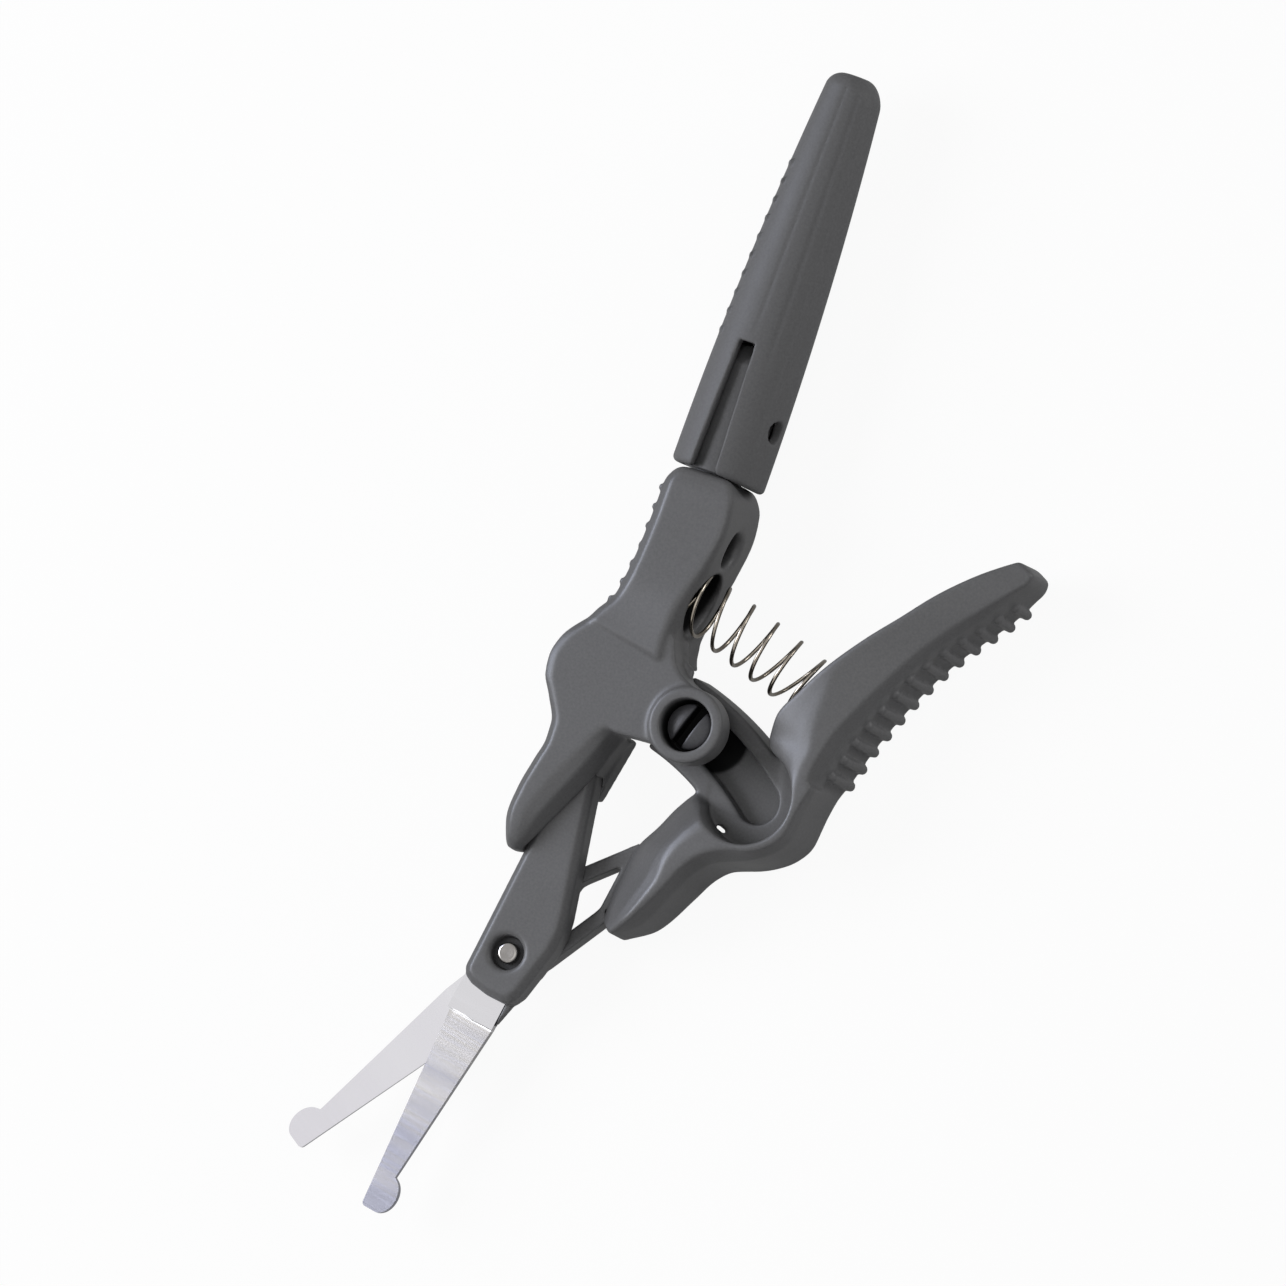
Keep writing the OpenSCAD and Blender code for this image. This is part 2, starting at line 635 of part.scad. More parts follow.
// Spring: a right-handed wire helix with a closed turn at each end
coil_r = (spring_d - wire_d) / 2;
end_pitch = wire_d * 1.15;
open_len = spring_end - spring_start - wire_d - 2 * end_pitch;
open_turns = open_len / spring_pitch;
all_turns = open_turns + 2;
coil_steps = 16;
coil_phase = 20;
wire_sides = 6;
function coil_along(turn) = spring_start + wire_d / 2 +
    (turn < 1 ? turn * end_pitch
    : turn < 1 + open_turns ? end_pitch + (turn - 1) * spring_pitch
    : end_pitch + open_len + (turn - 1 - open_turns) * end_pitch);
function coil_point(turn, r) = let (a = coil_phase + 360 * turn) [coil_along(turn), r * cos(a), r * sin(a)];
function wire_ring(turn) = [for (k = [0:wire_sides - 1]) let (b = 360 * k / wire_sides)
    coil_point(turn, coil_r + wire_d / 2 * cos(b)) + [wire_d / 2 * sin(b), 0, 0]];

module return_spring() {
    steps = floor(all_turns * coil_steps);
    color(steel)
        translate([spring_mouth[0], spring_mouth[1], spring_z])
            rotate([0, spring_dip, spring_angle])
                loft([for (i = [0:steps]) wire_ring(all_turns * i / steps)]);
}

// Seam ripper: a plug in the grip, a spigot for the cap, a forked blade and a bead
ripper_tang_y = grip_top_y + 4;
ripper_tip_y = grip_top_y + ripper_len;
ripper_short_y = ripper_tip_y - 10;
ripper_short_x = 1.9;
module ripper_outline(by = 0) {
    tip = ripper_tip_y;
    fork = tip - 15;
    short = ripper_short_y;
    polygon(grown([[-1.4, ripper_tang_y], [1.4, ripper_tang_y], [1.4, fork - 8], [2.3, fork],
        [2.3, short], [1.5, short], [1, fork + 1.5], [-0.4, fork + 1.5], [-1.4, tip - 4], [-1.8, tip],
        [-2.2, tip - 3], [-1.9, fork], [-1.4, fork - 8]], by));
}

module ripper_holder() {
    color(plastic)
        difference() {
            union() {
                on_ripper_axis(grip_top_y - plug_len + seat_gap)
                    cylinder(d = plug_d, h = plug_len);
                on_ripper_axis(grip_top_y + seat_gap)
                    cylinder(r = spigot_r, h = spigot_len);
                on_ripper_axis(grip_top_y + seat_gap + spigot_len)
                    cylinder(r1 = spigot_r, r2 = spigot_r - 1.6, h = 2.4);
            }
            translate([ripper_x, 0, ripper_z - ripper_t / 2 - running_gap])
                linear_extrude(ripper_t + 2 * running_gap)
                    ripper_outline(running_gap);
        }
}

module ripper_blade() {
    color(steel)
        translate([ripper_x, 0, ripper_z - ripper_t / 2])
            linear_extrude(ripper_t)
                ripper_outline();
}

module ripper_ball() {
    color("firebrick")
        translate([ripper_x + ripper_short_x, ripper_short_y + bead_r + seat_gap, ripper_z])
            sphere(bead_r);
}

// Cap: a tapered shell with a round end, a slot in front and a hole in its side
cap_end_round = 2;
cap_hole_turn = 14;
cap_slot_turn = -4;
function cap_r(t) = cap_mouth_r - cap_taper * t * t;
cap_steps = 10;
cap_end_t = 1 - cap_end_round / cap_len;
module ripper_cap() {
    hole_y = cap_mouth_y + 7.4;
    end_r = cap_r(cap_end_t);
    outer = concat([[0, 0], [cap_mouth_r - 0.6, 0], [cap_mouth_r, 0.7]],
        [for (i = [1:cap_steps]) let (t = cap_end_t * i / cap_steps) [cap_r(t), t * cap_len]],
        [for (a = [30:30:90]) [end_r - cap_end_round * (1 - cos(a)), cap_len - cap_end_round * (1 - sin(a))]],
        [[0, cap_len]]);
    bore_end = cap_len - 4.5;
    inner = concat([[0, -past], [cap_mouth_r - cap_wall, -past]],
        [for (i = [0:cap_steps]) let (y = bore_end * i / cap_steps) [cap_r(y / cap_len) - cap_wall, y]],
        [[0, bore_end]]);
    color(plastic)
        difference() {
            on_ripper_axis(cap_mouth_y)
                rotate_extrude()
                    polygon(outer);
            on_ripper_axis(cap_mouth_y)
                rotate_extrude()
                    polygon(inner);
            translate([ripper_x, cap_mouth_y, ripper_z])
                rotate([0, cap_slot_turn, 0])
                    linear_extrude(cap_mouth_r + past)
                        polygon([[-cap_slot_mouth / 2, -past], [cap_slot_mouth / 2, -past],
                            [cap_slot_end / 2, cap_slot_len], [-cap_slot_end / 2, cap_slot_len]]);
            translate([ripper_x, hole_y, ripper_z])
                rotate([0, 90 - cap_hole_turn, 0])
                    cylinder(d = cap_hole_d, h = cap_mouth_r + past);
        }
}

module in_frame() {
    translate([-rest_point[0], -rest_point[1], 0])
        children();
}

in_frame() handle_body();
in_frame() lever();
in_frame() front_holder();
in_frame() rear_holder();
in_frame() front_blade();
in_frame() rear_blade();
in_frame() pivot_rivet();
in_frame() pivot_washers();
in_frame() front_holder_pin();
in_frame() rear_holder_pin();
in_frame() guide_pin();
in_frame() return_spring();
in_frame() ripper_holder();
in_frame() ripper_blade();
in_frame() ripper_ball();
in_frame() ripper_cap();
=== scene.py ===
"""Looks for spring-loaded thread snips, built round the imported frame.

Sizes are in millimetres from the blade pivot: +X towards the lever, +Y up the handle, +Z out of the front face.
Moulded pieces are implicit solids: a signed distance on a grid, rounded by a blur and meshed where it is zero,
because their skins, bosses, bores and ribs flow into each other as one moulding. Turned, ground and wound pieces
are surfaces of two parameters.
"""
import logging
import math
from dataclasses import dataclass
from enum import Enum

import bpy
import numpy as np
from mathutils import Matrix, Vector


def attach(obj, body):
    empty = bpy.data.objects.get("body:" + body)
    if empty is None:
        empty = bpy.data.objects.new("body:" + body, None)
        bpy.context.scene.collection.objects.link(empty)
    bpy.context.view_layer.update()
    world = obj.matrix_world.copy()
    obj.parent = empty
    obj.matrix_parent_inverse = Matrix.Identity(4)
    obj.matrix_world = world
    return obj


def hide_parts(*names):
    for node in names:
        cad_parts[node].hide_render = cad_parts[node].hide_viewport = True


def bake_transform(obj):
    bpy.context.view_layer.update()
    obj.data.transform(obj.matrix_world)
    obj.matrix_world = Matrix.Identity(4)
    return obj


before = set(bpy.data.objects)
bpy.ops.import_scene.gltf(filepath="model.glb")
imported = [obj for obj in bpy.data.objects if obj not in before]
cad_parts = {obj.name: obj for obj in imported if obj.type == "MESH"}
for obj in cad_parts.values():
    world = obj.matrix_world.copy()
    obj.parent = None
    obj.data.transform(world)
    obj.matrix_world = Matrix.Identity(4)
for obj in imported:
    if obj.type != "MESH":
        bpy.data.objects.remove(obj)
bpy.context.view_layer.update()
LOG = logging.getLogger("snips")

Array = np.ndarray
Outline = tuple[tuple[float, float], ...]
Point = tuple[float, float, float]
MM = 0.001
REST_POINT = np.array([4.8, 56.0, 0.0])
# the seam ripper's axis runs up the handle
RIPPER_X, RIPPER_Z = 4.65, 7.1
# further than any face, for cuts that run out of a piece
FAR = 20.0


def to_row(points: Array) -> Array:
    """Turn pivot millimetres into row-frame metres.

    Args:
        points: array whose last axis is x, y, z in millimetres.

    Returns:
        The same points in metres from the row's origin.
    """
    return (np.asarray(points, float) - REST_POINT) * MM


# Meshes


def linked(name: str, data: bpy.types.ID) -> bpy.types.Object:
    """Make an untransformed object of some data and link it to the scene."""
    thing = bpy.data.objects.new(name, data)
    bpy.context.scene.collection.objects.link(thing)
    return thing


def quad_mesh(name: str, points: Array, quads: Array) -> bpy.types.Object:
    """Make a smooth mesh object of quads.

    Args:
        name: the object's name.
        points: (n, 3) vertices in pivot millimetres.
        quads: (m, 4) vertex numbers, counter-clockwise from outside.

    Returns:
        The new object.
    """
    mesh = bpy.data.meshes.new(name)
    mesh.vertices.add(len(points))
    mesh.vertices.foreach_set("co", to_row(points).astype(np.float32).ravel())
    mesh.loops.add(quads.size)
    mesh.loops.foreach_set("vertex_index", quads.astype(np.int32).ravel())
    mesh.polygons.add(len(quads))
    mesh.polygons.foreach_set("loop_start", np.arange(0, quads.size, 4, dtype=np.int32))
    mesh.polygons.foreach_set("use_smooth", np.ones(len(quads), bool))
    mesh.update(calc_edges=True)
    mesh.validate()
    return linked(name, mesh)


def ring_mesh(name: str, rings: Array, closed_path: bool = False, sharp_deg: float = 35.0) -> bpy.types.Object:
    """Skin a surface over rings of points: point (i, j) is joined to (i + 1, j) and (i, j + 1), which wraps round.

    Args:
        name: the object's name.
        rings: (n, m, 3) points in pivot millimetres.
        closed_path: whether the last ring joins the first; otherwise both ends are closed by a fan.
        sharp_deg: edges that turn by more than this stay crisp.

    Returns:
        The new object.
    """
    n, m = rings.shape[:2]
    index = np.arange(n * m).reshape(n, m)
    after = np.roll(index, -1, axis=1)
    corners = np.stack([index, after, np.roll(after, -1, axis=0), np.roll(index, -1, axis=0)], -1)
    faces = corners[:n if closed_path else n - 1].reshape(-1, 4).tolist()
    points = rings.reshape(-1, 3)
    if not closed_path:
        points = np.concatenate([points, rings[0].mean(0)[None], rings[-1].mean(0)[None]])
        faces += np.stack([np.full(m, n * m), after[0], index[0]], -1).tolist()
        faces += np.stack([np.full(m, n * m + 1), index[-1], after[-1]], -1).tolist()
    mesh = bpy.data.meshes.new(name)
    mesh.from_pydata(to_row(points).tolist(), [], faces)
    mesh.polygons.foreach_set("use_smooth", np.ones(len(faces), bool))
    mesh.set_sharp_from_angle(angle=math.radians(sharp_deg))
    mesh.update()
    return linked(name, mesh)


def set_uv(piece: bpy.types.Object, per_vertex: Array) -> None:
    """Give a piece a UV map from one pair of values per vertex.

    Args:
        piece: the mesh object.
        per_vertex: (n, 2) values for the mesh's first n vertices; any further vertex takes the last pair.
    """
    mesh = piece.data
    spare = len(mesh.vertices) - len(per_vertex)
    values = np.concatenate([per_vertex, np.repeat(per_vertex[-1:], spare, axis=0)])
    corner = np.zeros(len(mesh.loops), np.int32)
    mesh.loops.foreach_get("vertex_index", corner)
    mesh.uv_layers.new(name="UVMap").data.foreach_set("uv", values[corner].astype(np.float32).ravel())


def turned(profile: Array, centre: Point, axis: int, steps: int = 64) -> Array:
    """Carry a profile of (radius, height) round an axis: the point at angle a is radius times (cos a, sin a).

    Args:
        profile: (n, 2) radii and heights, in millimetres.
        centre: a point on the axis, in pivot millimetres.
        axis: 1 for an axis along +Y, 2 for one along +Z.
        steps: points round the axis.

    Returns:
        (n, steps, 3) rings for ring_mesh.
    """
    angle = np.linspace(0, 2 * math.pi, steps, endpoint=False)
    radius, height = profile[:, :1], np.repeat(profile[:, 1:], steps, axis=1)
    side, front = radius * np.cos(angle), radius * np.sin(angle)
    layers = [side, front, height] if axis == 2 else [front, height, side]
    return np.stack(layers, -1) + np.asarray(centre, float)


# Implicit solids


class Grid:
    """A regular grid of sample points with its three open axes."""

    SETTLE_PASSES = 2

    def __init__(self, low: Point, high: Point, step: float) -> None:
        """Lay out the grid.

        Args:
            low: lowest corner in pivot millimetres.
            high: highest corner.
            step: spacing of the samples.
        """
        self.low, self.step = np.array(low, float), step
        self.shape = tuple(int(math.ceil((b - a) / step)) + 1 for a, b in zip(low, high))
        x, y, z = (a + step * np.arange(n) for a, n in zip(low, self.shape))
        self.x, self.y, self.z = x[:, None, None], y[None, :, None], z[None, None, :]

    def plan(self, outline: Outline) -> Array:
        """Distance to an outline seen from the front, one per column."""
        return polygon_distance(self.x[:, :, 0], self.y[:, :, 0], np.array(outline, float))[:, :, None]

    def plate(self, plan: Array, low: float, high: float) -> Array:
        """Distance to a flat plate: that to its plan or to its faces at two heights, whichever is larger."""
        return np.maximum(plan, np.maximum(low - self.z, self.z - high))

    def post(self, x: float, y: float, radius: float, low: float, high: float) -> Array:
        """Distance to a round post that stands on the back at (x, y), between two heights."""
        return rod(self.x - x, self.y - y, self.z, radius, low, high)

    def blurred(self, field: Array, sigma: float) -> Array:
        """Round all edges of a field by a Gaussian blur, one axis at a time.

        Args:
            field: signed distances on this grid.
            sigma: the blur's width in millimetres, about the radius that an edge gets.

        Returns:
            The blurred field.
        """
        reach = max(1, int(math.ceil(2.5 * sigma / self.step)))
        offsets = np.arange(-reach, reach + 1)
        weights = np.exp(-0.5 * (offsets * self.step / sigma) ** 2)
        weights /= weights.sum()
        for axis in range(3):
            padded = np.pad(field, [(reach, reach) if a == axis else (0, 0) for a in range(3)], mode="edge")
            size = field.shape[axis]
            field = sum(w * np.take(padded, range(o + reach, o + reach + size), axis)
                        for o, w in zip(offsets, weights))
        return field

    def sample(self, field: Array, points: Array) -> Array:
        """Read a field between its samples by trilinear interpolation.

        Args:
            field: values on this grid.
            points: (n, 3) places in pivot millimetres.

        Returns:
            (n,) values.
        """
        place = (points - self.low) / self.step
        base = np.clip(np.floor(place).astype(int), 0, np.array(self.shape) - 2)
        share = place - base
        total = np.zeros(len(points))
        for corner in np.ndindex(2, 2, 2):
            at = base + np.array(corner)
            weight = np.prod(np.where(corner, share, 1 - share), axis=1)
            total += weight * field[at[:, 0], at[:, 1], at[:, 2]]
        return total

    def solid(self, name: str, field: Array, recess: Array | None = None) -> bpy.types.Object:
        """Mesh the zero surface of a field by surface nets: one vertex for each cell that the surface crosses.

        Args:
            name: the object's name.
            field: signed distances on this grid, negative inside.
            recess: how dark each sample is painted as shade in bores and hollows, 0 to 1, kept as the mesh's attribute
                of that name.

        Returns:
            The new object.
        """
        inside = field < 0
        nx, ny, nz = (n - 1 for n in self.shape)
        whole = np.stack([inside[i:i + nx, j:j + ny, k:k + nz] for i, j, k in np.ndindex(2, 2, 2)]).sum(0)
        active = (whole > 0) & (whole < 8)
        number = np.full(active.shape, -1, np.int64)
        number[active] = np.arange(active.sum())
        cells = np.argwhere(active)
        corners = np.array(list(np.ndindex(2, 2, 2)))
        at = cells[:, None] + corners
        value = field[at[..., 0], at[..., 1], at[..., 2]]
        place, count = np.zeros(cells.shape), np.zeros((len(cells), 1))
        for a, b in ((a, a + gap) for gap in (1, 2, 4) for a in range(8) if not a & gap):
            crossed = (value[:, a] < 0) != (value[:, b] < 0)
            share = np.where(crossed, value[:, a] / np.where(crossed, value[:, a] - value[:, b], 1), 0)[:, None]
            place += crossed[:, None] * (corners[a] + share * (corners[b] - corners[a]))
            count += crossed[:, None]
        points = self.low + self.step * (cells + place / count)
        quads = np.concatenate([self._crossings(inside, number, axis) for axis in range(3)])
        for _ in range(self.SETTLE_PASSES):
            points = self._settled(field, points, quads)
        piece = quad_mesh(name, points, quads)
        if recess is not None:
            layer = piece.data.attributes.new("recess", "FLOAT", "POINT")
            layer.data.foreach_set("value", np.clip(self.sample(recess, points), 0, 1).astype(np.float32))
        return piece

    @staticmethod
    def _crossings(inside: Array, number: Array, axis: int) -> Array:
        """Give the quads round the grid edges along one axis that cross the surface.

        Args:
            inside: whether each sample is inside.
            number: vertex number of each cell.
            axis: the edges' axis.

        Returns:
            (n, 4) vertex numbers, counter-clockwise from outside.
        """
        order = (axis, (axis + 1) % 3, (axis + 2) % 3)
        inside, number = np.transpose(inside, order), np.transpose(number, order)
        here, there = inside[:-1, 1:-1, 1:-1], inside[1:, 1:-1, 1:-1]
        i, j, k = np.nonzero(here != there)
        quad = np.stack([number[i, j, k], number[i, j + 1, k], number[i, j + 1, k + 1], number[i, j, k + 1]], -1)
        return np.where(here[i, j, k][:, None], quad, quad[:, ::-1])

    def _settled(self, field: Array, points: Array, quads: Array) -> Array:
        """Move each vertex half-way to its neighbours' mean, then along the slope back to the zero surface.

        Args:
            field: signed distances on this grid.
            points: (n, 3) vertices.
            quads: (m, 4) faces.

        Returns:
            The moved vertices.
        """
        here = np.concatenate([quads[:, c] for c in range(4)] * 2)
        there = np.concatenate([quads[:, (c + side) % 4] for side in (1, 3) for c in range(4)])
        number = np.bincount(here, minlength=len(points))[:, None]
        mean = np.stack([np.bincount(here, points[there, c], len(points)) for c in range(3)], -1) / number
        points = 0.5 * (points + mean)
        reach = 0.5 * self.step
        slope = np.stack([self.sample(field, points + s) - self.sample(field, points - s)
                          for s in reach * np.eye(3)], -1)
        slope /= 2 * reach
        size = np.maximum((slope ** 2).sum(1, keepdims=True), 0.05)
        move = -self.sample(field, points)[:, None] * slope / size
        return points + np.clip(move, -self.step, self.step)


def joined(a: Array, b: Array, fillet: float) -> Array:
    """Unite two solids with a fillet: the smaller distance, less a parabola where the two are close.

    Args:
        a: first signed distance.
        b: second signed distance.
        fillet: the fillet's reach in millimetres.

    Returns:
        The united signed distance.
    """
    share = np.maximum(fillet - np.abs(a - b), 0) / fillet
    return np.minimum(a, b) - share * share * fillet / 4


def cut(a: Array, b: Array, fillet: float = 0.15) -> Array:
    """Take solid b out of solid a, with a softened edge: the mirror image of joined."""
    return -joined(-a, b, fillet)


def rod(x: Array, y: Array, z: Array, radius: float, low: float, high: float) -> Array:
    """Signed distance to a round rod along z, the larger of the distances to its side and to its ends."""
    return np.maximum(np.hypot(x, y) - radius, np.maximum(low - z, z - high))


def spun(a: Array, b: Array, turn_deg: float) -> tuple[Array, Array]:
    """Give coordinates along and across a direction that is turned from axis a towards axis b."""
    turn = math.radians(turn_deg)
    return a * math.cos(turn) + b * math.sin(turn), b * math.cos(turn) - a * math.sin(turn)


def fade(room: Array, reach: float, most: float = 1.0) -> Array:
    """Rise evenly from 0 where there is no room to 1 at some reach, but to no more than a limit."""
    return np.clip(room / reach, 0, most)


def polygon_distance(x: Array, y: Array, outline: Array) -> Array:
    """Signed distance to a polygon, side by side; the sign flips with each side that a ray crosses.

    Args:
        x: first coordinates, any shape.
        y: second coordinates, of a shape that fits x.
        outline: (..., n, 2) corners; leading axes fit those of x and y.

    Returns:
        Distances, negative inside.
    """
    nearest, inside = np.inf, False
    for a, b in zip(np.moveaxis(outline, -2, 0), np.moveaxis(np.roll(outline, -1, axis=-2), -2, 0)):
        side_x, side_y = b[..., 0] - a[..., 0], b[..., 1] - a[..., 1]
        from_x, from_y = x - a[..., 0], y - a[..., 1]
        share = np.clip((from_x * side_x + from_y * side_y) / np.maximum(side_x ** 2 + side_y ** 2, 1e-12), 0, 1)
        square = (from_x - share * side_x) ** 2 + (from_y - share * side_y) ** 2
        level = np.where(np.abs(side_y) < 1e-9, 1e-9, side_y)
        flips = ((a[..., 1] > y) != (b[..., 1] > y)) & (from_x < side_x * from_y / level)
        nearest, inside = np.minimum(nearest, square), inside ^ flips
    return np.where(inside, -1, 1) * np.sqrt(nearest)


def path_length(points: Array) -> Array:
    """Give each point's distance along a path of straight steps."""
    return np.concatenate([[0], np.cumsum(np.linalg.norm(np.diff(points, axis=0), axis=1))])


def smooth_table(table: tuple, along: Array, spacing: float) -> Array:
    """Fill in a table of stations with a curve that never overshoots (monotone cubic).

    Args:
        table: rows of numbers, one per station.
        along: each station's distance along the piece.
        spacing: distance between the rows wanted.

    Returns:
        The denser table.
    """
    rows = np.array(table, float)
    gap = np.diff(along)[:, None]
    rise = np.diff(rows, axis=0) / gap
    before, after = rise[:-1], rise[1:]
    same = before * after > 0
    inner = np.where(same, 2 * before * after / np.where(same, before + after, 1), 0)
    slope = np.concatenate([rise[:1], inner, rise[-1:]])
    want = np.linspace(along[0], along[-1], int((along[-1] - along[0]) / spacing) + 2)
    k = np.clip(np.searchsorted(along, want, side="right") - 1, 0, len(along) - 2)
    g = gap[k]
    t = ((want - along[k])[:, None]) / g
    return ((1 + 2 * t) * (1 - t) ** 2 * rows[k] + t * (1 - t) ** 2 * g * slope[k]
            + t * t * (3 - 2 * t) * rows[k + 1] + t * t * (t - 1) * g * slope[k + 1])


def loft_distance(grid: Grid, starts: Array, ends: Array, corners: tuple, margin: float = 2.0) -> Array:
    """Signed distance to a solid lofted over sections that stand on a row of straight station lines.

    Each column of samples is placed between two station lines by its distances to them; the section there is
    the blend of the two, and the distance to that section's outline is the solid's.

    Args:
        grid: the sample grid.
        starts: (n, 2) first end of each station line.
        ends: (n, 2) second end of each station line.
        corners: the sections' corners in turn, each as n distances from the line's start and n heights.
        margin: columns further than this from the solid just get that distance.

    Returns:
        Signed distances on the grid.
    """
    nx, ny, nz = grid.shape
    sections = np.stack([np.stack(corner, -1) for corner in corners], 1)
    column = np.stack(np.broadcast_arrays(grid.x[:, :, 0], grid.y[:, :, 0]), -1).reshape(-1, 2)
    width = np.linalg.norm(ends - starts, axis=1)
    line = (ends - starts) / width[:, None]
    away = column[:, None] - starts[None]
    ahead = line[None, :, 0] * away[..., 1] - line[None, :, 1] * away[..., 0]
    across = (away * line[None]).sum(-1)
    between = (ahead[:, :-1] >= 0) & (ahead[:, 1:] < 0)
    off = np.abs(across[:, :-1] - width[:-1] / 2) + np.where(between, 0, 1e6)
    k = off.argmin(1)
    found = np.take_along_axis(between, k[:, None], 1)[:, 0]
    rows = np.arange(len(column))
    here, there = ahead[rows, k], ahead[rows, k + 1]
    share = np.where(found, here / np.where(found, here - there, 1), 0)[:, None]
    start = starts[k] * (1 - share) + starts[k + 1] * share
    end = ends[k] * (1 - share) + ends[k + 1] * share
    span = np.linalg.norm(end - start, axis=1)
    place = ((column - start) * (end - start)).sum(1) / span
    near = found & (np.maximum(np.maximum(-place, place - span), 0) < margin)
    field = np.full((nx * ny, nz), margin)
    part = share[near][:, :, None]
    ring = sections[k[near]] * (1 - part) + sections[k[near] + 1] * part
    field[near] = polygon_distance(place[near][:, None], grid.z[0], ring[:, None])
    return field.reshape(nx, ny, nz)


def sector_distance(grid: Grid, radius: float, width: float, low_deg: float, high_deg: float,
                    bottom: float, top: float) -> Array:
    """Signed distance to a flat ring sector about the pivot: ring, end angles and faces, whichever is furthest."""
    reach = np.hypot(grid.x, grid.y)
    angle = np.degrees(np.arctan2(grid.y, grid.x))
    arc_mm = np.radians(np.maximum(low_deg - angle, angle - high_deg)) * reach
    return grid.plate(np.maximum(np.abs(reach - radius) - width / 2, arc_mm), bottom, top)


# Finishes


Socket = bpy.types.NodeSocket
Tree = bpy.types.NodeTree


def linear(hex_colour: str) -> tuple[float, float, float, float]:
    """Turn an sRGB hex colour into Blender's linear RGBA.

    Args:
        hex_colour: six hex digits after a '#'.

    Returns:
        Linear red, green, blue and alpha.
    """
    parts = [int(hex_colour[i:i + 2], 16) / 255 for i in (1, 3, 5)]
    return (*[c / 12.92 if c <= 0.04045 else ((c + 0.055) / 1.055) ** 2.4 for c in parts], 1.0)


def feed(tree: Tree, node: bpy.types.Node, **inputs: object) -> bpy.types.Node:
    """Set a node's inputs.

    Args:
        tree: the node's tree.
        node: the node.
        inputs: input names, with _ for a space, or i and a number; an output socket is linked, a value is set.

    Returns:
        The node.
    """
    for key, value in inputs.items():
        socket = node.inputs[int(key[1:]) if key[1:].isdigit() else key.replace("_", " ")]
        if isinstance(value, Socket):
            tree.links.new(value, socket)
        else:
            socket.default_value = value
    return node


def add_node(tree: Tree, kind: str, settings: dict | None = None, **inputs: object) -> bpy.types.Node:
    """Add a shader node.

    Args:
        tree: the material's or world's node tree.
        kind: the node's type name, without its first words.
        settings: attributes to set on the node.
        inputs: as for feed.

    Returns:
        The new node.
    """
    node = tree.nodes.new("ShaderNode" + kind)
    for key, value in (settings or {}).items():
        setattr(node, key, value)
    return feed(tree, node, **inputs)


def reckon(tree: Tree, operation: str, *values: Socket | float) -> Socket:
    """Add a sum on two or three values and give its result."""
    inputs = {f"i{n}": value for n, value in enumerate(values)}
    return add_node(tree, "Math", {"operation": operation}, **inputs).outputs[0]


def ramp(tree: Tree, value: Socket, start: tuple[float, float], end: tuple[float, float] = (0.0, 1.0)) -> Socket:
    """Map a range of a value evenly to another range."""
    return add_node(tree, "MapRange", Value=value, From_Min=start[0], From_Max=start[1],
                    To_Min=end[0], To_Max=end[1]).outputs[0]


def mix(tree: Tree, share: Socket, first: Socket | str, second: Socket | str) -> Socket:
    """Blend two colours, each a hex colour or a node's result."""
    first, second = (linear(c) if isinstance(c, str) else c for c in (first, second))
    return add_node(tree, "Mix", {"data_type": "RGBA"}, i0=share, i6=first, i7=second).outputs[2]


def noise(tree: Tree, place: Socket, size: float, detail: float, roughness: float = 0.5) -> Socket:
    """Add cloudy noise whose largest spots are about one size across."""
    return add_node(tree, "TexNoise", Vector=place, Scale=1 / size, Detail=detail, Roughness=roughness).outputs["Fac"]


def bump(tree: Tree, height: Socket, strength: float, distance_mm: float) -> Socket:
    """Tilt the surface by a height."""
    return add_node(tree, "Bump", Height=height, Strength=strength, Distance=distance_mm * MM).outputs[0]


def new_material(name: str) -> tuple[bpy.types.Material, Tree, bpy.types.Node]:
    """Make a node material, and give it with its node tree and its Principled shader."""
    material = bpy.data.materials.new(name)
    material.use_nodes = True
    return material, material.node_tree, material.node_tree.nodes["Principled BSDF"]


# where noise is clearly below and above its mean
NOISE_SPAN = (0.3, 0.7)


@dataclass(frozen=True)
class MouldedPlastic:
    """Satin ABS from a spark-eroded mould: a fine pebble grain that breaks up the sheen."""

    name: str
    colour: str
    light_colour: str
    roughness: float = 0.43
    gloss: float = 0.28
    # painted shade: the colour and gloss painted where the recess attribute marks shaded hollows
    painted_shade_colour: str = "#0e0e0e"
    painted_shade_gloss: float = 0.02
    # the real grain of about 0.1 mm is drawn coarser so that it shows
    grain_mm: float = 0.34
    grain_strength: float = 0.22
    cloud_mm: float = 9.0

    def make(self) -> bpy.types.Material:
        """Build the material: mottled colour, painted shade in hollows, uneven sheen and a pebble bump."""
        material, tree, shader = new_material(self.name)
        place = add_node(tree, "TexCoord").outputs["Object"]
        grain = noise(tree, place, self.grain_mm * MM, 2.0, 0.6)
        cloud = noise(tree, place, self.cloud_mm * MM, 2.0)
        speck = mix(tree, ramp(tree, grain, (0.3, 0.75)), self.colour, self.light_colour)
        # painted shade: where the recess attribute is high the colour goes nearly black and the gloss nearly off,
        # standing in for shade in bores and hollows
        painted_shade = add_node(tree, "Attribute", {"attribute_name": "recess"}).outputs["Fac"]
        feed(tree, shader, Base_Color=mix(tree, painted_shade, speck, self.painted_shade_colour), IOR=1.5,
             Roughness=ramp(tree, cloud, NOISE_SPAN, (self.roughness - 0.04, self.roughness + 0.05)),
             Specular_IOR_Level=ramp(tree, painted_shade, (0.0, 1.0), (self.gloss, self.painted_shade_gloss)),
             Normal=bump(tree, grain, self.grain_strength, 0.05))
        return material


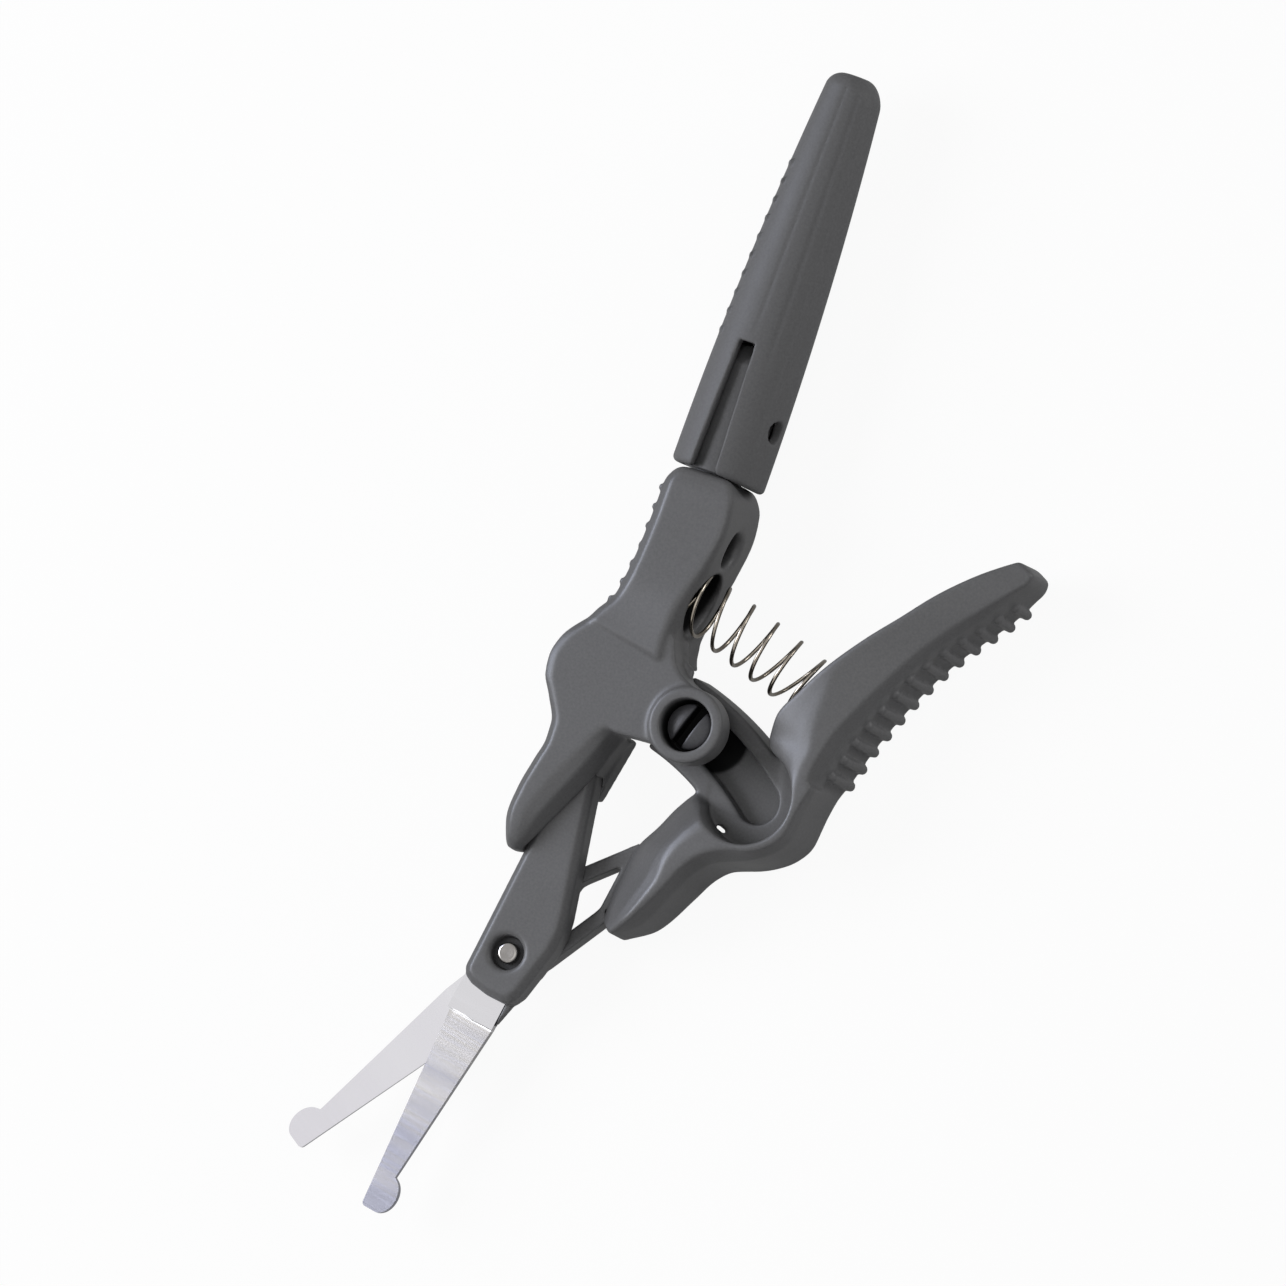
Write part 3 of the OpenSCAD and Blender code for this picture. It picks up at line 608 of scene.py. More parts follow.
@dataclass(frozen=True)
class GroundSteel:
    """Stainless steel ground across its length: fine lines and slow bands, a plain root and a painted highlight on the
    step.
    """

    name: str
    colour: str
    band_colour: str
    root_colour: str
    step_highlight_colour: str
    root_mm: float = 9.9
    step_mm: float = 0.15
    step_fade_mm: float = 0.25
    roughness: float = 0.13
    line_mm: float = 0.45
    band_mm: float = 3.2
    line_strength: float = 0.05

    def make(self) -> bpy.types.Material:
        """Build the material on the blade's own UV map, in millimetres along and across the blade."""
        material, tree, shader = new_material(self.name)
        flat = add_node(tree, "UVMap", {"uv_map": "UVMap"}).outputs["UV"]
        along = add_node(tree, "SeparateXYZ", Vector=flat).outputs["X"]
        # the squeeze across the blade draws a point out into a line
        thin, broad = (add_node(tree, "Mapping", Vector=flat, Scale=(1.0, squeeze, 1.0)).outputs[0]
                       for squeeze in (0.03, 0.12))
        lines, bands = noise(tree, thin, self.line_mm, 3.0, 0.6), noise(tree, broad, self.band_mm, 2.0)
        # the colour darkens and turns bluer towards the tip
        both = reckon(tree, "MULTIPLY_ADD", lines, 0.9, bands)
        share = ramp(tree, reckon(tree, "MULTIPLY_ADD", along, 0.02, both), (0.95, 1.65))
        grind = mix(tree, share, self.colour, self.band_colour)
        # the flat root ends at the shoulder; just past it the step gets a painted highlight, a near-white strip
        step = self.root_mm + self.step_mm
        grind_and_step_highlight = mix(tree, ramp(tree, along, (step, step + self.step_fade_mm), (1.0, 0.0)), grind, self.step_highlight_colour)
        root = reckon(tree, "LESS_THAN", along, self.root_mm + 0.05)
        feed(tree, shader, Base_Color=mix(tree, root, grind_and_step_highlight, self.root_colour), Metallic=1.0,
             Roughness=ramp(tree, lines, NOISE_SPAN, (self.roughness - 0.03, self.roughness + 0.04)),
             Normal=bump(tree, lines, self.line_strength, 0.02))
        return material


@dataclass(frozen=True)
class PlainSteel:
    """Drawn or turned steel: faint clouding of the gloss and small handling marks."""

    name: str
    colour: str
    dull_colour: str
    roughness: float = 0.22
    cloud_mm: float = 1.2

    def make(self) -> bpy.types.Material:
        """Build the material: metal with a clouded colour, gloss and a faint bump."""
        material, tree, shader = new_material(self.name)
        cloud = noise(tree, add_node(tree, "TexCoord").outputs["Object"], self.cloud_mm * MM, 3.0)
        feed(tree, shader, Base_Color=mix(tree, cloud, self.colour, self.dull_colour), Metallic=1.0,
             Roughness=ramp(tree, cloud, NOISE_SPAN, (self.roughness - 0.05, self.roughness + 0.08)),
             Normal=bump(tree, cloud, 0.1, 0.03))
        return material


class Finish(Enum):
    """The finishes of the snips' pieces."""

    BODY = MouldedPlastic("moulded_abs_grey", "#5c5c5d", "#656566")
    PIN = MouldedPlastic("moulded_abs_dark", "#47474a", "#505053", roughness=0.42)
    CAP = MouldedPlastic("moulded_abs_cap", "#636364", "#6b6b6c", roughness=0.5, gloss=0.1, grain_strength=0.12)
    # the last colour is the painted highlight on the shoulder's step
    GROUND = GroundSteel("ground_blade_steel", "#cbc8c5", "#9a9ba8", "#d5d4d7", "#f0f0f1")
    POLISHED = GroundSteel("flat_blade_steel", "#dcdbde", "#d6d4d9", "#dad9dc", "#dad9dc", roughness=0.14, band_mm=9.0)
    RIVET = PlainSteel("turned_rivet_steel", "#928f8c", "#807d7b")
    # the washers are painted near black: painted shade for the dark ring round the rivet's head in its recess
    WASHER = PlainSteel("washer_steel_painted_shade", "#3a3a3b", "#2c2c2d", roughness=0.45)
    # the wire's strong clouding from pale to dark is painted reflection, standing in for its bright highlights and
    # dark edges
    WIRE = PlainSteel("spring_wire_painted_reflection", "#b4aca0", "#5a5248", roughness=0.2, cloud_mm=1.9)
    RIPPER = PlainSteel("stamped_ripper_steel", "#d0d0d3", "#bcbcc1", roughness=0.25)
    BEAD = MouldedPlastic("gloss_bead_red", "#a81c1c", "#b52424", roughness=0.2, gloss=0.5, grain_strength=0.02)


MATERIALS: dict[Finish, bpy.types.Material] = {}


def dress(piece: bpy.types.Object, finish: Finish, body: str, slot: str, *nodes: str) -> None:
    """Give a piece its finish, its body and the CAD nodes that it stands for.

    Args:
        piece: the new object, or a CAD node's object when nodes is empty.
        finish: the piece's finish.
        body: the body that it rides on.
        slot: the record's material slot; not used.
        nodes: CAD nodes that it replaces.
    """
    if finish not in MATERIALS:
        MATERIALS[finish] = finish.value.make()
    piece.data.materials.clear()
    piece.data.materials.append(MATERIALS[finish])
    if nodes:
        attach(piece, body)
        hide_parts(*nodes)
    LOG.info("%s: %d faces on %s", piece.name, len(piece.data.polygons), body)


# Sub-assemblies


@dataclass(frozen=True)
class Guide:
    """The guide pin, its boss on the handle and its groove in the lever's arm."""

    radius: float = 38.1
    angle_deg: float = 68.4
    travel_deg: float = 18.0
    arm_width: float = 11.0
    arm_shift: float = -0.35
    arm_top: float = 6.8
    groove_width: float = 5.7
    groove_floor: float = 4.4
    boss_r: float = 5.0
    boss_top: float = 14.2
    bore_r: float = 3.5
    bore_floor: float = 9.7
    pin_r: float = 2.5
    head_r: float = 3.0
    head_top: float = 12.7
    dome_r: float = 7.0
    slot_width: float = 1.5
    slot_depth: float = 2.3
    slot_deg: float = 71.0
    cup_r: float = 6.4

    def at(self, angle_deg: float) -> tuple[float, float]:
        """Give the point of the groove's middle line at an angle about the pivot."""
        turn = math.radians(angle_deg)
        return self.radius * math.cos(turn), self.radius * math.sin(turn)

    def build(self) -> None:
        """Make the slotted pin: a shank, a low domed head and a driver slot, as one implicit solid."""
        cx, cy = self.at(self.angle_deg)
        grid = Grid((cx - 3.5, cy - 3.5, 4.3), (cx + 3.5, cy + 3.5, 13.2), 0.13)
        x, y, z = grid.x - cx, grid.y - cy, grid.z
        dome = np.sqrt(x * x + y * y + (z - self.head_top + self.dome_r) ** 2) - self.dome_r
        head = np.maximum(grid.post(cx, cy, self.head_r, self.bore_floor, self.head_top), dome)
        pin = np.minimum(head, grid.post(cx, cy, self.pin_r, self.groove_floor + 0.3, self.bore_floor + 0.3))
        slot = np.maximum(np.abs(spun(x, y, self.slot_deg)[1]) - self.slot_width / 2,
                          self.head_top - self.slot_depth - z)
        # painted shade: the driver slot is painted dark through the recess attribute
        inside = fade(0.25 - slot, 0.2) * fade(self.head_top - 0.3 - z, 0.5)
        piece = grid.solid("guide_pin_slotted", grid.blurred(np.maximum(pin, -slot), 0.12), inside)
        dress(piece, Finish.PIN, "handle", "dark_plastic", "guide_pin")


@dataclass(frozen=True)
class SpringSeat:
    """Where the spring lies: the mouth of its socket in the grip, its direction and its reach to the lever."""

    mouth: Point = (9.0, 51.0, 7.6)
    angle_deg: float = -15.0
    dip_deg: float = 8.0
    reach: float = 19.1
    socket_depth: float = 7.0
    seat_depth: float = 1.5
    socket_r: float = 4.35
    coil_r: float = 3.9
    wire_r: float = 0.275
    slack: float = 0.1
    turn_steps: int = 44
    wire_steps: int = 14
    pitch: float = 3.519
    end_pitch: float = 0.6325
    phase_deg: float = 245.8
    # where the spring comes free of its socket and over what length; from there it sags, dips and leans its turns
    free: tuple[float, float] = (-1.4, 2.4)
    shift: Point = (-0.07, -1.16, 0.155)
    drop: float = -0.31
    lean_deg: tuple[float, float] = (12.6, -31.0)

    def axes(self) -> Array:
        """Give the spring's own axes as rows: along it, across it, and up from it."""
        turn, dip = math.radians(self.angle_deg), math.radians(self.dip_deg)
        return np.array([(math.cos(dip) * math.cos(turn), math.cos(dip) * math.sin(turn), -math.sin(dip)),
                         (-math.sin(turn), math.cos(turn), 0),
                         (math.sin(dip) * math.cos(turn), math.sin(dip) * math.sin(turn), math.cos(dip))])

    def local(self, grid: Grid) -> list[Array]:
        """Give the grid's coordinates along the spring's axis, across it and up from it."""
        away = (grid.x - self.mouth[0], grid.y - self.mouth[1], grid.z - self.mouth[2])
        return [sum(a * d for a, d in zip(axis, away)) for axis in self.axes()]

    def build(self) -> None:
        """Wind the wire: a circle carried along a right-handed helix that leans and sags, its end turns closed."""
        start = self.slack - self.socket_depth + self.wire_r
        end = self.reach + self.seat_depth - self.slack - self.wire_r
        open_len = end - start - 2 * self.end_pitch
        turns = open_len / self.pitch + 2
        turn = np.linspace(0, turns, int(turns * self.turn_steps))
        along = start + np.interp(turn, [0, 1, turns - 1, turns],
                                  [0, self.end_pitch, self.end_pitch + open_len, 2 * self.end_pitch + open_len])
        angle = np.radians(self.phase_deg) + 2 * math.pi * turn
        round_wire = np.linspace(0, 2 * math.pi, self.wire_steps, endpoint=False)
        radius = self.coil_r + self.wire_r * np.cos(round_wire)
        s = along[:, None] + self.wire_r * np.sin(round_wire)
        out, share = fade(along - self.free[0], self.free[1])[:, None], along[:, None] / self.reach
        out = out * out * (3 - 2 * out)
        lean = out * np.radians(self.lean_deg[0] + self.lean_deg[1] * share)
        first, last, sag = self.shift
        side = out * (first + (last - first) * share + 4 * sag * share * (1 - share))
        across, height = radius * np.cos(angle)[:, None], radius * np.sin(angle)[:, None] + out * self.drop
        local = np.stack([s - across * np.sin(lean), across * np.cos(lean) + side, height], -1)
        piece = ring_mesh("spring_wire_coil", np.array(self.mouth) + local @ self.axes(), sharp_deg=60)
        dress(piece, Finish.WIRE, "handle", "spring_wire")
        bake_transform(piece)
        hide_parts("return_spring")


@dataclass(frozen=True)
class Handle:
    """The handle moulding: grip, lobe with the guide boss, and the horn over the front holder's tang."""

    guide: Guide
    spring: SpringSeat
    step_mm: float = 0.24
    soft_mm: float = 0.24
    edge: float = 0.6
    lobe_base: float = 6.1
    lobe_top: float = 13.2
    pocket_top: float = 8.1
    pocket_deg: tuple[float, float] = (48.4, 94.6)
    ring_bottom: float = 9.9
    ring_cut: tuple[float, float] = (3.7, 6.5)
    side_hole: tuple[float, float] = (7.9, 58.9)
    side_hole_r: float = 2.3
    plug_r: float = 3.35
    plug_y: tuple[float, float] = (59.0, 80.0)
    tang_z: tuple[float, float] = (5.6, 9.85)
    ribs: int = 7
    rib_r: float = 0.55
    rib_pitch: float = 2.65
    rib_y: float = 63.7
    rib_z: tuple[float, float] = (2.8, 12.2)
    # y, left, right, back, left shoulder, crest, crest's left and right ends, right shoulder, slope across the
    # handle, and how much lower the crest's left end lies
    stations: tuple = (
        (12.7, -4.9, -3, 6.95, 8.6, 10.2, -4.2, -3.4, 9, 0, 0),
        (14.3, -5.4, -1.9, 5.75, 9.8, 12, -4.4, -3.3, 9.9, 0, 0),
        (17.5, -6, -0.3, 5.75, 10.8, 12.8, -4.8, -3.2, 9.9, 0, 0),
        (21, -5.65, 1.5, 5.75, 11.1, 13, -4.4, -2.2, 9.9, 0, 0),
        (25, -4.75, 3.4, 5.75, 11.4, 13.2, -3.5, -0.4, 9.9, 0, 0),
        (28, -4.05, 4.3, 5.75, 11.7, 13.2, -2.9, 1.2, 9.9, 0, 0),
        (30, -4.05, 4.9, 5.75, 12, 13.2, -2.9, 2.2, 9.4, 0, 0), (33.4, -5.5, 6, 0, 12.5, 13.2, -4.4, 4.5, 9, 0, 0),
        (36, -6.9, 7.4, 0, 12.7, 13.2, -5.75, 6.2, 9, 0, 0), (38.5, -7.2, 8, 0, 12.7, 13.2, -6.05, 6.6, 9, 0, 0),
        (40.5, -6.6, 8.7, 0, 12.6, 13.2, -5.4, 6.8, 9.6, -0.1, 0),
        (43.8, -4.3, 8.4, 0, 12.3, 13.2, -3.2, 7.2, 10.6, -0.19, 0),
        (44.3, -3.9, 8.3, 0, 12.4, 13.85, -2.8, 7.3, 11.2, -0.19, 0.35),
        (46, -3.1, 8, 0, 12.4, 13.95, -1.9, 7, 11.6, -0.12, 0.55),
        (48.5, -1.6, 8.2, 0, 12.3, 14, -0.5, 7, 12, -0.05, 0.6), (52, -1, 8.9, 0, 12.3, 13.9, 0.4, 7.7, 12.1, 0, 0.2),
        (56, -0.6, 9.7, 0, 12.4, 13.8, 0.8, 9, 12.6, 0, 0), (61, -0.4, 10.3, 0, 12.5, 13.8, 1, 9.9, 12.9, 0, 0),
        (64.5, -0.35, 9.9, 0, 12.5, 13.8, 1, 9.6, 12.9, 0, 0), (66.6, 0.4, 8.8, 0.4, 12, 13.4, 1.6, 8.6, 12.4, 0, 0),
        (67.5, 1.6, 7.8, 1.2, 11.4, 12.6, 2.6, 7.6, 11.6, 0, 0))
    slope_x: float = -2.0
    lobe: Outline = ((-2, 33.6), (2.9, 31.9), (5.2, 31.5), (8, 31.7), (10.6, 31.8), (14.03, 35.42), (13.2, 40.3),
                     (10.7, 41.6), (9.6, 42.7), (8.9, 44.2), (8.3, 45.8), (-2, 45.8))
    # plates that stiffen the moulding: outline, foot and top
    plates: tuple = (
        (((-2.6, 23.6), (-0.6, 22.4), (3.4, 22.5), (4.1, 26), (5.1, 31), (5.5, 34), (-3.6, 34), (-3, 28)), 2.6, 6.2),
        (((6.5, 42.2), (9.3, 42.2), (8.9, 42.9), (8.5, 43.5), (8.2, 44.4), (8, 45.8), (6.5, 47.5)), 0.0, 9.0),
        (((8.2, 42), (11.2, 41.2), (11.1, 42.5), (10.2, 43.1), (9.3, 43.5), (8.6, 44)), 7.4, 9.0))

    def build(self) -> None:
        """Make the moulding: a loft up the grip, joined to the lobe and boss, with its bores and ribs."""
        guide, spring = self.guide, self.spring
        grid = Grid((-8.2, 11.9, -0.7), (20, 68.3, 15.8), self.step_mm)
        cx, cy = guide.at(guide.angle_deg)
        lobe = grid.plan(self.lobe)
        field = np.minimum(self._grip(grid), grid.plate(lobe, self.lobe_base, self.lobe_top))
        plates = [grid.plate(grid.plan(outline), foot, top) for outline, foot, top in self.plates]
        field = joined(field, np.minimum.reduce(plates), 0.4)
        field = joined(field, grid.post(cx, cy, guide.boss_r, self.lobe_base, guide.boss_top), 0.9)
        field = cut(field, sector_distance(grid, guide.radius + guide.arm_shift, guide.arm_width + 0.6,
                                           *self.pocket_deg, -2, self.pocket_top))
        # past the lobe the boss is a ring that overhangs the groove
        reach = np.hypot(grid.x - cx, grid.y - cy)
        inner, outer = self.ring_cut
        under = np.maximum(np.maximum(0.3 - lobe, grid.z - self.ring_bottom), np.maximum(inner - reach, reach - outer))
        field = grid.blurred(np.maximum(cut(field, under), -grid.z), self.soft_mm)
        field = joined(field, self._ribs(grid), 0.25)
        along, across, height = spring.local(grid)
        hole_floor, hole_y = self.side_hole
        side_y, side_z = grid.y - hole_y, grid.z - RIPPER_Z
        for hole, fillet in (
                (grid.post(cx, cy, guide.bore_r, guide.bore_floor, FAR), 0.3),
                (grid.post(cx, cy, guide.pin_r + 0.05, 0.0, FAR), 0.15),
                (rod(across, height, along, spring.socket_r, -spring.socket_depth, 6.0), 0.3),
                (rod(grid.x - RIPPER_X, grid.z - RIPPER_Z, grid.y, self.plug_r, *self.plug_y), 0.15),
                (rod(side_y, side_z, grid.x, self.side_hole_r, hole_floor, FAR), 1.2),
                (grid.plate(grid.plan(FRONT_HOLDER.outline), *self.tang_z) - 0.05, 0.15)):
            field = cut(field, hole, fillet)
        # painted shade, kept as the recess attribute: the guide pin's hole, the spring socket, the side hole and the
        # underside of the overhanging ring are painted dark
        painted_shade = fade(guide.bore_r + 0.4 - reach, 0.2) * fade(guide.boss_top - 0.7 - grid.z, 1.5, 0.85)
        socket = fade(spring.socket_r + 0.4 - np.hypot(across, height), 0.2) * fade(-along - 0.1, 0.6, 0.97)
        side = fade(self.side_hole_r + 0.3 - np.hypot(side_y, side_z), 0.2) * fade(9.9 - grid.x, 1.6, 0.75)
        shade = fade(self.ring_bottom + 0.2 - grid.z, 0.3, 0.9) * fade(5.4 - reach, 0.2) * (lobe > 0)
        painted_shade = np.maximum(painted_shade * (grid.z > guide.bore_floor - 0.4), socket * (along > -spring.socket_depth - 0.4))
        recess = np.maximum(painted_shade, np.maximum(side * (grid.x > 6.5), shade))
        dress(grid.solid("handle_moulding", field, recess), Finish.BODY, "handle", "grey_plastic", "handle_body")

    def _grip(self, grid: Grid) -> Array:
        """Distance to the loft from the horn up the grip, whose crest rolls over into the right side."""
        y, left, right, back, left_z, crest, crest_l, crest_r, right_z, slope, drop = smooth_table(
            self.stations, np.array([row[0] for row in self.stations], float), 0.25).T
        stretch = np.sqrt(1 + slope ** 2)
        e, w = np.full_like(y, self.edge), (right - left) * stretch
        return loft_distance(
            grid, np.stack([left, y + slope * (left - self.slope_x)], -1),
            np.stack([right, y + slope * (right - self.slope_x)], -1),
            ((e, back), (w - e, back), (w, back + e), (w, right_z),
             ((0.45 * crest_r + 0.55 * right - left) * stretch, 0.76 * crest + 0.24 * right_z),
             ((crest_r - left) * stretch, crest), ((crest_l - left) * stretch, crest - drop),
             (0 * w, left_z), (0 * w, back + e)))

    def _ribs(self, grid: Grid) -> Array:
        """Distance to the grip's ribs: round bars, straight in line at first, then swinging out with the left side."""
        field = np.full(grid.shape, 5.0)
        for i in range(self.ribs):
            x = -0.3 if i < 4 else -0.5 - 0.13 * (i - 3) ** 2.1
            field = np.minimum(field, grid.post(x, self.rib_y - i * self.rib_pitch, self.rib_r, *self.rib_z))
        return field


@dataclass(frozen=True)
class Lever:
    """The lever moulding: ribbed finger pad, cup, grooved guide arm and the horn over the rear holder's tang."""

    guide: Guide
    spring: SpringSeat
    step_mm: float = 0.25
    soft_mm: float = 0.24
    edge: float = 0.8
    back_round: float = 2.0
    rib_r: float = 0.7
    rib_len: Point = (6.6, 7.2, 4.6)
    rib_foot: float = 1.8
    rib_lean_deg: float = 6.0
    ribs: int = 13
    rib_ends: tuple[float, float] = (35.2, 63.7)
    slit: tuple[float, float] = (21.1, 24.4)
    slit_deg: float = -20.0
    slit_half: float = 0.45
    slit_r: float = 0.3
    slit_lean: float = 0.326
    # where the groove is painted dark as shade round the pin's place
    groove_shade_r: float = 5.0
    groove_shade_shift: float = 1.2
    arm_start_deg: float = 44.0
    arm_past: float = 2.2
    cup_y: float = 33.0
    # the slot for the rear holder's tang: its ends along x, y and z
    tang_box: Outline = ((0.0, 10.3), (4.0, 20.0), (2.2, 5.6))
    # inner x, y, outer x, y, inner shoulder, crest, the crest's ends as shares of the width, outer shoulder, back,
    # how far the crest falls to its outer end, and how far in the outer shoulder lies
    stations: tuple = (
        (8.8, 8.2, 12.1, 6.3, 4.2, 8.2, 0.76, 0.9, 6.8, 1.2, 0, 0.3),
        (8.6, 10.2, 16.3, 9.25, 4.3, 10.8, 0.68, 0.79, 8, 0.3, 0, 0.6),
        (9.6, 15, 19.4, 14.5, 5.2, 12, 0.66, 0.84, 9.6, 0, 0, 0.6),
        (10.7, 18.8, 21.15, 17.65, 5.4, 12.4, 0.55, 0.835, 9.8, 0, 0, 0.6),
        (12.6, 22, 23.05, 19.55, 5.8, 12.6, 0.455, 0.815, 9.8, 0, 0, 0.6),
        (14.4, 25.4, 24.8, 20.25, 6.2, 12.7, 0.425, 0.81, 9.8, 0, 0, 0.6),
        (16.3, 27.5, 26.7, 20.9, 6.4, 12.7, 0.4, 0.82, 10.2, 0, 0, 0.6),
        (20.6, 26.2, 29, 22.1, 8, 12.8, 0.37, 0.83, 10.4, 0, 0, 0.55),
        (24, 26.4, 30.95, 23.7, 9, 12.8, 0.365, 0.83, 10.4, 0, 0, 0.55),
        (26.6, 28, 32.4, 26.2, 9, 12.8, 0.36, 0.82, 10.4, 0, 0, 0.55),
        (27.4, 30.6, 32.8, 29.95, 9, 12.9, 0.38, 0.84, 10.6, 0, 0, 0.5),
        (26.6, 33.6, 33.35, 33.05, 9.9, 13, 0.5, 0.9, 11.6, 0, 0, 0.35),
        (26.4, 34.2, 33.55, 33.6, 10.1, 13, 0.5, 0.76, 10.4, 0, 0, 1.15),
        (24.2, 37.6, 34.6, 36.65, 10.5, 13.4, 0.6, 0.77, 10.6, 0, 0.1, 1.15),
        (24.4, 40.2, 35.5, 39.9, 11.6, 13.5, 0.54, 0.765, 10.9, 0, 0.4, 1.2),
        (26.65, 44.5, 37.55, 45.35, 12.9, 13.6, 0.36, 0.765, 10.9, 0, 1, 1.2),
        (29.4, 48.95, 39.85, 50.4, 13.5, 13.6, 0.14, 0.77, 10.8, 0, 1.5, 1.2),
        (32.8, 53.6, 42.55, 55.1, 13.4, 13.5, 0.09, 0.755, 10.6, 0, 1.7, 1.2),
        (36.3, 57.8, 45.35, 58.85, 13, 13.2, 0.07, 0.74, 10.3, 0.2, 1.6, 1.2),
        (39.75, 62.05, 48, 62.25, 12.5, 12.7, 0.07, 0.77, 9.9, 0.6, 1.4, 1.1),
        (43.75, 66.05, 50, 65.45, 11.8, 12, 0.08, 0.84, 9.6, 1.2, 1, 0.8),
        (46.55, 68.4, 51.05, 67.5, 11, 11.2, 0.1, 0.88, 9, 1.8, 0.7, 0.4),
        (48.5, 69.85, 51, 68.75, 10.4, 10.7, 0.15, 0.92, 8.6, 2.8, 0.3, 0.15))

    def build(self) -> None:
        """Make the moulding: a loft round the cup, joined to the guide arm, with its groove, seat, slot and ribs."""
        grid = Grid((7.6, 5.4, -0.7), (52.2, 71.2, 14.7), self.step_mm)
        table = np.array(self.stations, float)
        rows = smooth_table(self.stations, path_length((table[:, :2] + table[:, 2:4]) / 2), 0.45)
        guide, spring = self.guide, self.spring
        arm_end = guide.angle_deg + math.degrees((guide.groove_width / 2 + self.arm_past) / guide.radius)
        arm = sector_distance(grid, guide.radius + guide.arm_shift, guide.arm_width, self.arm_start_deg, arm_end,
                              0, guide.arm_top)
        field = grid.blurred(np.maximum(joined(self._skin(grid, rows), arm, 1.2), -grid.z), self.soft_mm)
        low = guide.angle_deg - guide.travel_deg
        field = cut(field, grid.post(*guide.at(low), guide.cup_r, guide.arm_top + 0.05, FAR), 0.5)
        ends = low - 0.5, guide.angle_deg + 0.5
        groove = sector_distance(grid, guide.radius, guide.groove_width, *ends, guide.groove_floor, FAR)
        for angle in ends:
            groove = np.minimum(groove, grid.post(*guide.at(angle), guide.groove_width / 2, guide.groove_floor, FAR))
        field = cut(field, groove, 0.4)
        slit_x = grid.x - self.slit[0] - self.slit_lean * (grid.z - guide.arm_top)
        run, beside = spun(slit_x, grid.y - self.slit[1], self.slit_deg)
        field = cut(field, np.hypot(np.maximum(np.abs(run) - self.slit_half, 0), beside) - self.slit_r, 0.1)
        field = joined(field, self._ribs(grid, rows[:, 2:4]), 0.2)
        s, across, height = spring.local(grid)
        field = cut(field, rod(across - spring.shift[1] + spring.slack, height - spring.drop, s, spring.socket_r,
                               spring.reach - 6, spring.reach + spring.seat_depth))
        (x0, x1), (y0, y1), tang_z = self.tang_box
        tang = np.maximum(np.maximum(x0 - grid.x, grid.x - x1), np.maximum(y0 - grid.y, grid.y - y1))
        field = cut(field, grid.plate(tang, *tang_z))
        # painted shade: the groove is painted dark round the pin's place at rest, under the overhanging boss
        px, py = guide.at(guide.angle_deg)
        painted_groove_shade = fade(self.groove_shade_r - np.hypot(grid.x - px - self.groove_shade_shift, grid.y - py), 0.3, 0.97)
        painted_groove_shade = painted_groove_shade * fade(guide.arm_top - 0.2 - grid.z, 0.5)
        painted_groove_shade = painted_groove_shade * (np.abs(np.hypot(grid.x, grid.y) - guide.radius) < guide.groove_width / 2 + 0.5)
        dress(grid.solid("lever_moulding", field, painted_groove_shade), Finish.BODY, "lever", "grey_plastic", "lever")

    def _skin(self, grid: Grid, rows: Array) -> Array:
        """Distance to the loft from the horn round the cup and up the finger pad, its inner slope rolled over."""
        start, end = rows[:, :2], rows[:, 2:4]
        inner_z, crest, first, second, outer_z, back, fall, inset = rows[:, 4:].T
        w = np.linalg.norm(end - start, axis=1)
        rolled, rise = np.minimum(self.back_round, 0.4 * w), crest - inner_z
        return loft_distance(grid, start, end, (
            (w - rolled, back), (w - 0.3 * rolled, back + 0.3 * rolled), (w, back + rolled),
            (w - np.minimum(inset, 0.3 * w), outer_z), (w * second, crest - fall),
            (w * (0.75 * first + 0.25 * second), crest - 0.25 * fall), (w * first, crest - 0.05 * rise),
            (0.8 * w * first, inner_z + 0.82 * rise), (0.4 * w * first, inner_z + 0.44 * rise),
            (0 * w, inner_z), (0 * w, back + self.edge), (0 * w + self.edge, back)))

    def _ribs(self, grid: Grid, path: Array) -> Array:
        """Distance to the finger pad's ribs: round-ended bars spread evenly on the outer side, leaning in."""
        field = np.full(grid.shape, 5.0)
        tangent, arc = np.gradient(path, axis=0), path_length(path)
        upper = np.flatnonzero(path[:, 1] > self.cup_y)
        first, last = np.interp(self.rib_ends, path[upper, 1], arc[upper])
        for i, place in enumerate(np.linspace(first, last, self.ribs)):
            length = np.interp(i, (0, self.ribs // 2, self.ribs - 1), self.rib_len)
            x, y, tx, ty = (np.interp(place, arc, row) for row in (*path.T, *tangent.T))
            tx, ty = tx / math.hypot(tx, ty), ty / math.hypot(tx, ty)
            near_x, near_y = np.abs(grid.x[:, 0, 0] - x) < 4, np.abs(grid.y[0, :, 0] - y) < 4
            near = np.ix_(near_x, near_y, np.ones(grid.shape[2], bool))
            dx, dy, dz = grid.x[near_x] - x, grid.y[:, near_y] - y, grid.z - self.rib_foot
            away, rise = spun(dx * ty - dy * tx, dz, self.rib_lean_deg)
            past = np.maximum(np.maximum(-rise, rise - length), 0)
            bar = np.sqrt(away ** 2 + (dx * tx + dy * ty) ** 2 + past ** 2) - self.rib_r
            field[near] = np.minimum(field[near], bar)
        return field


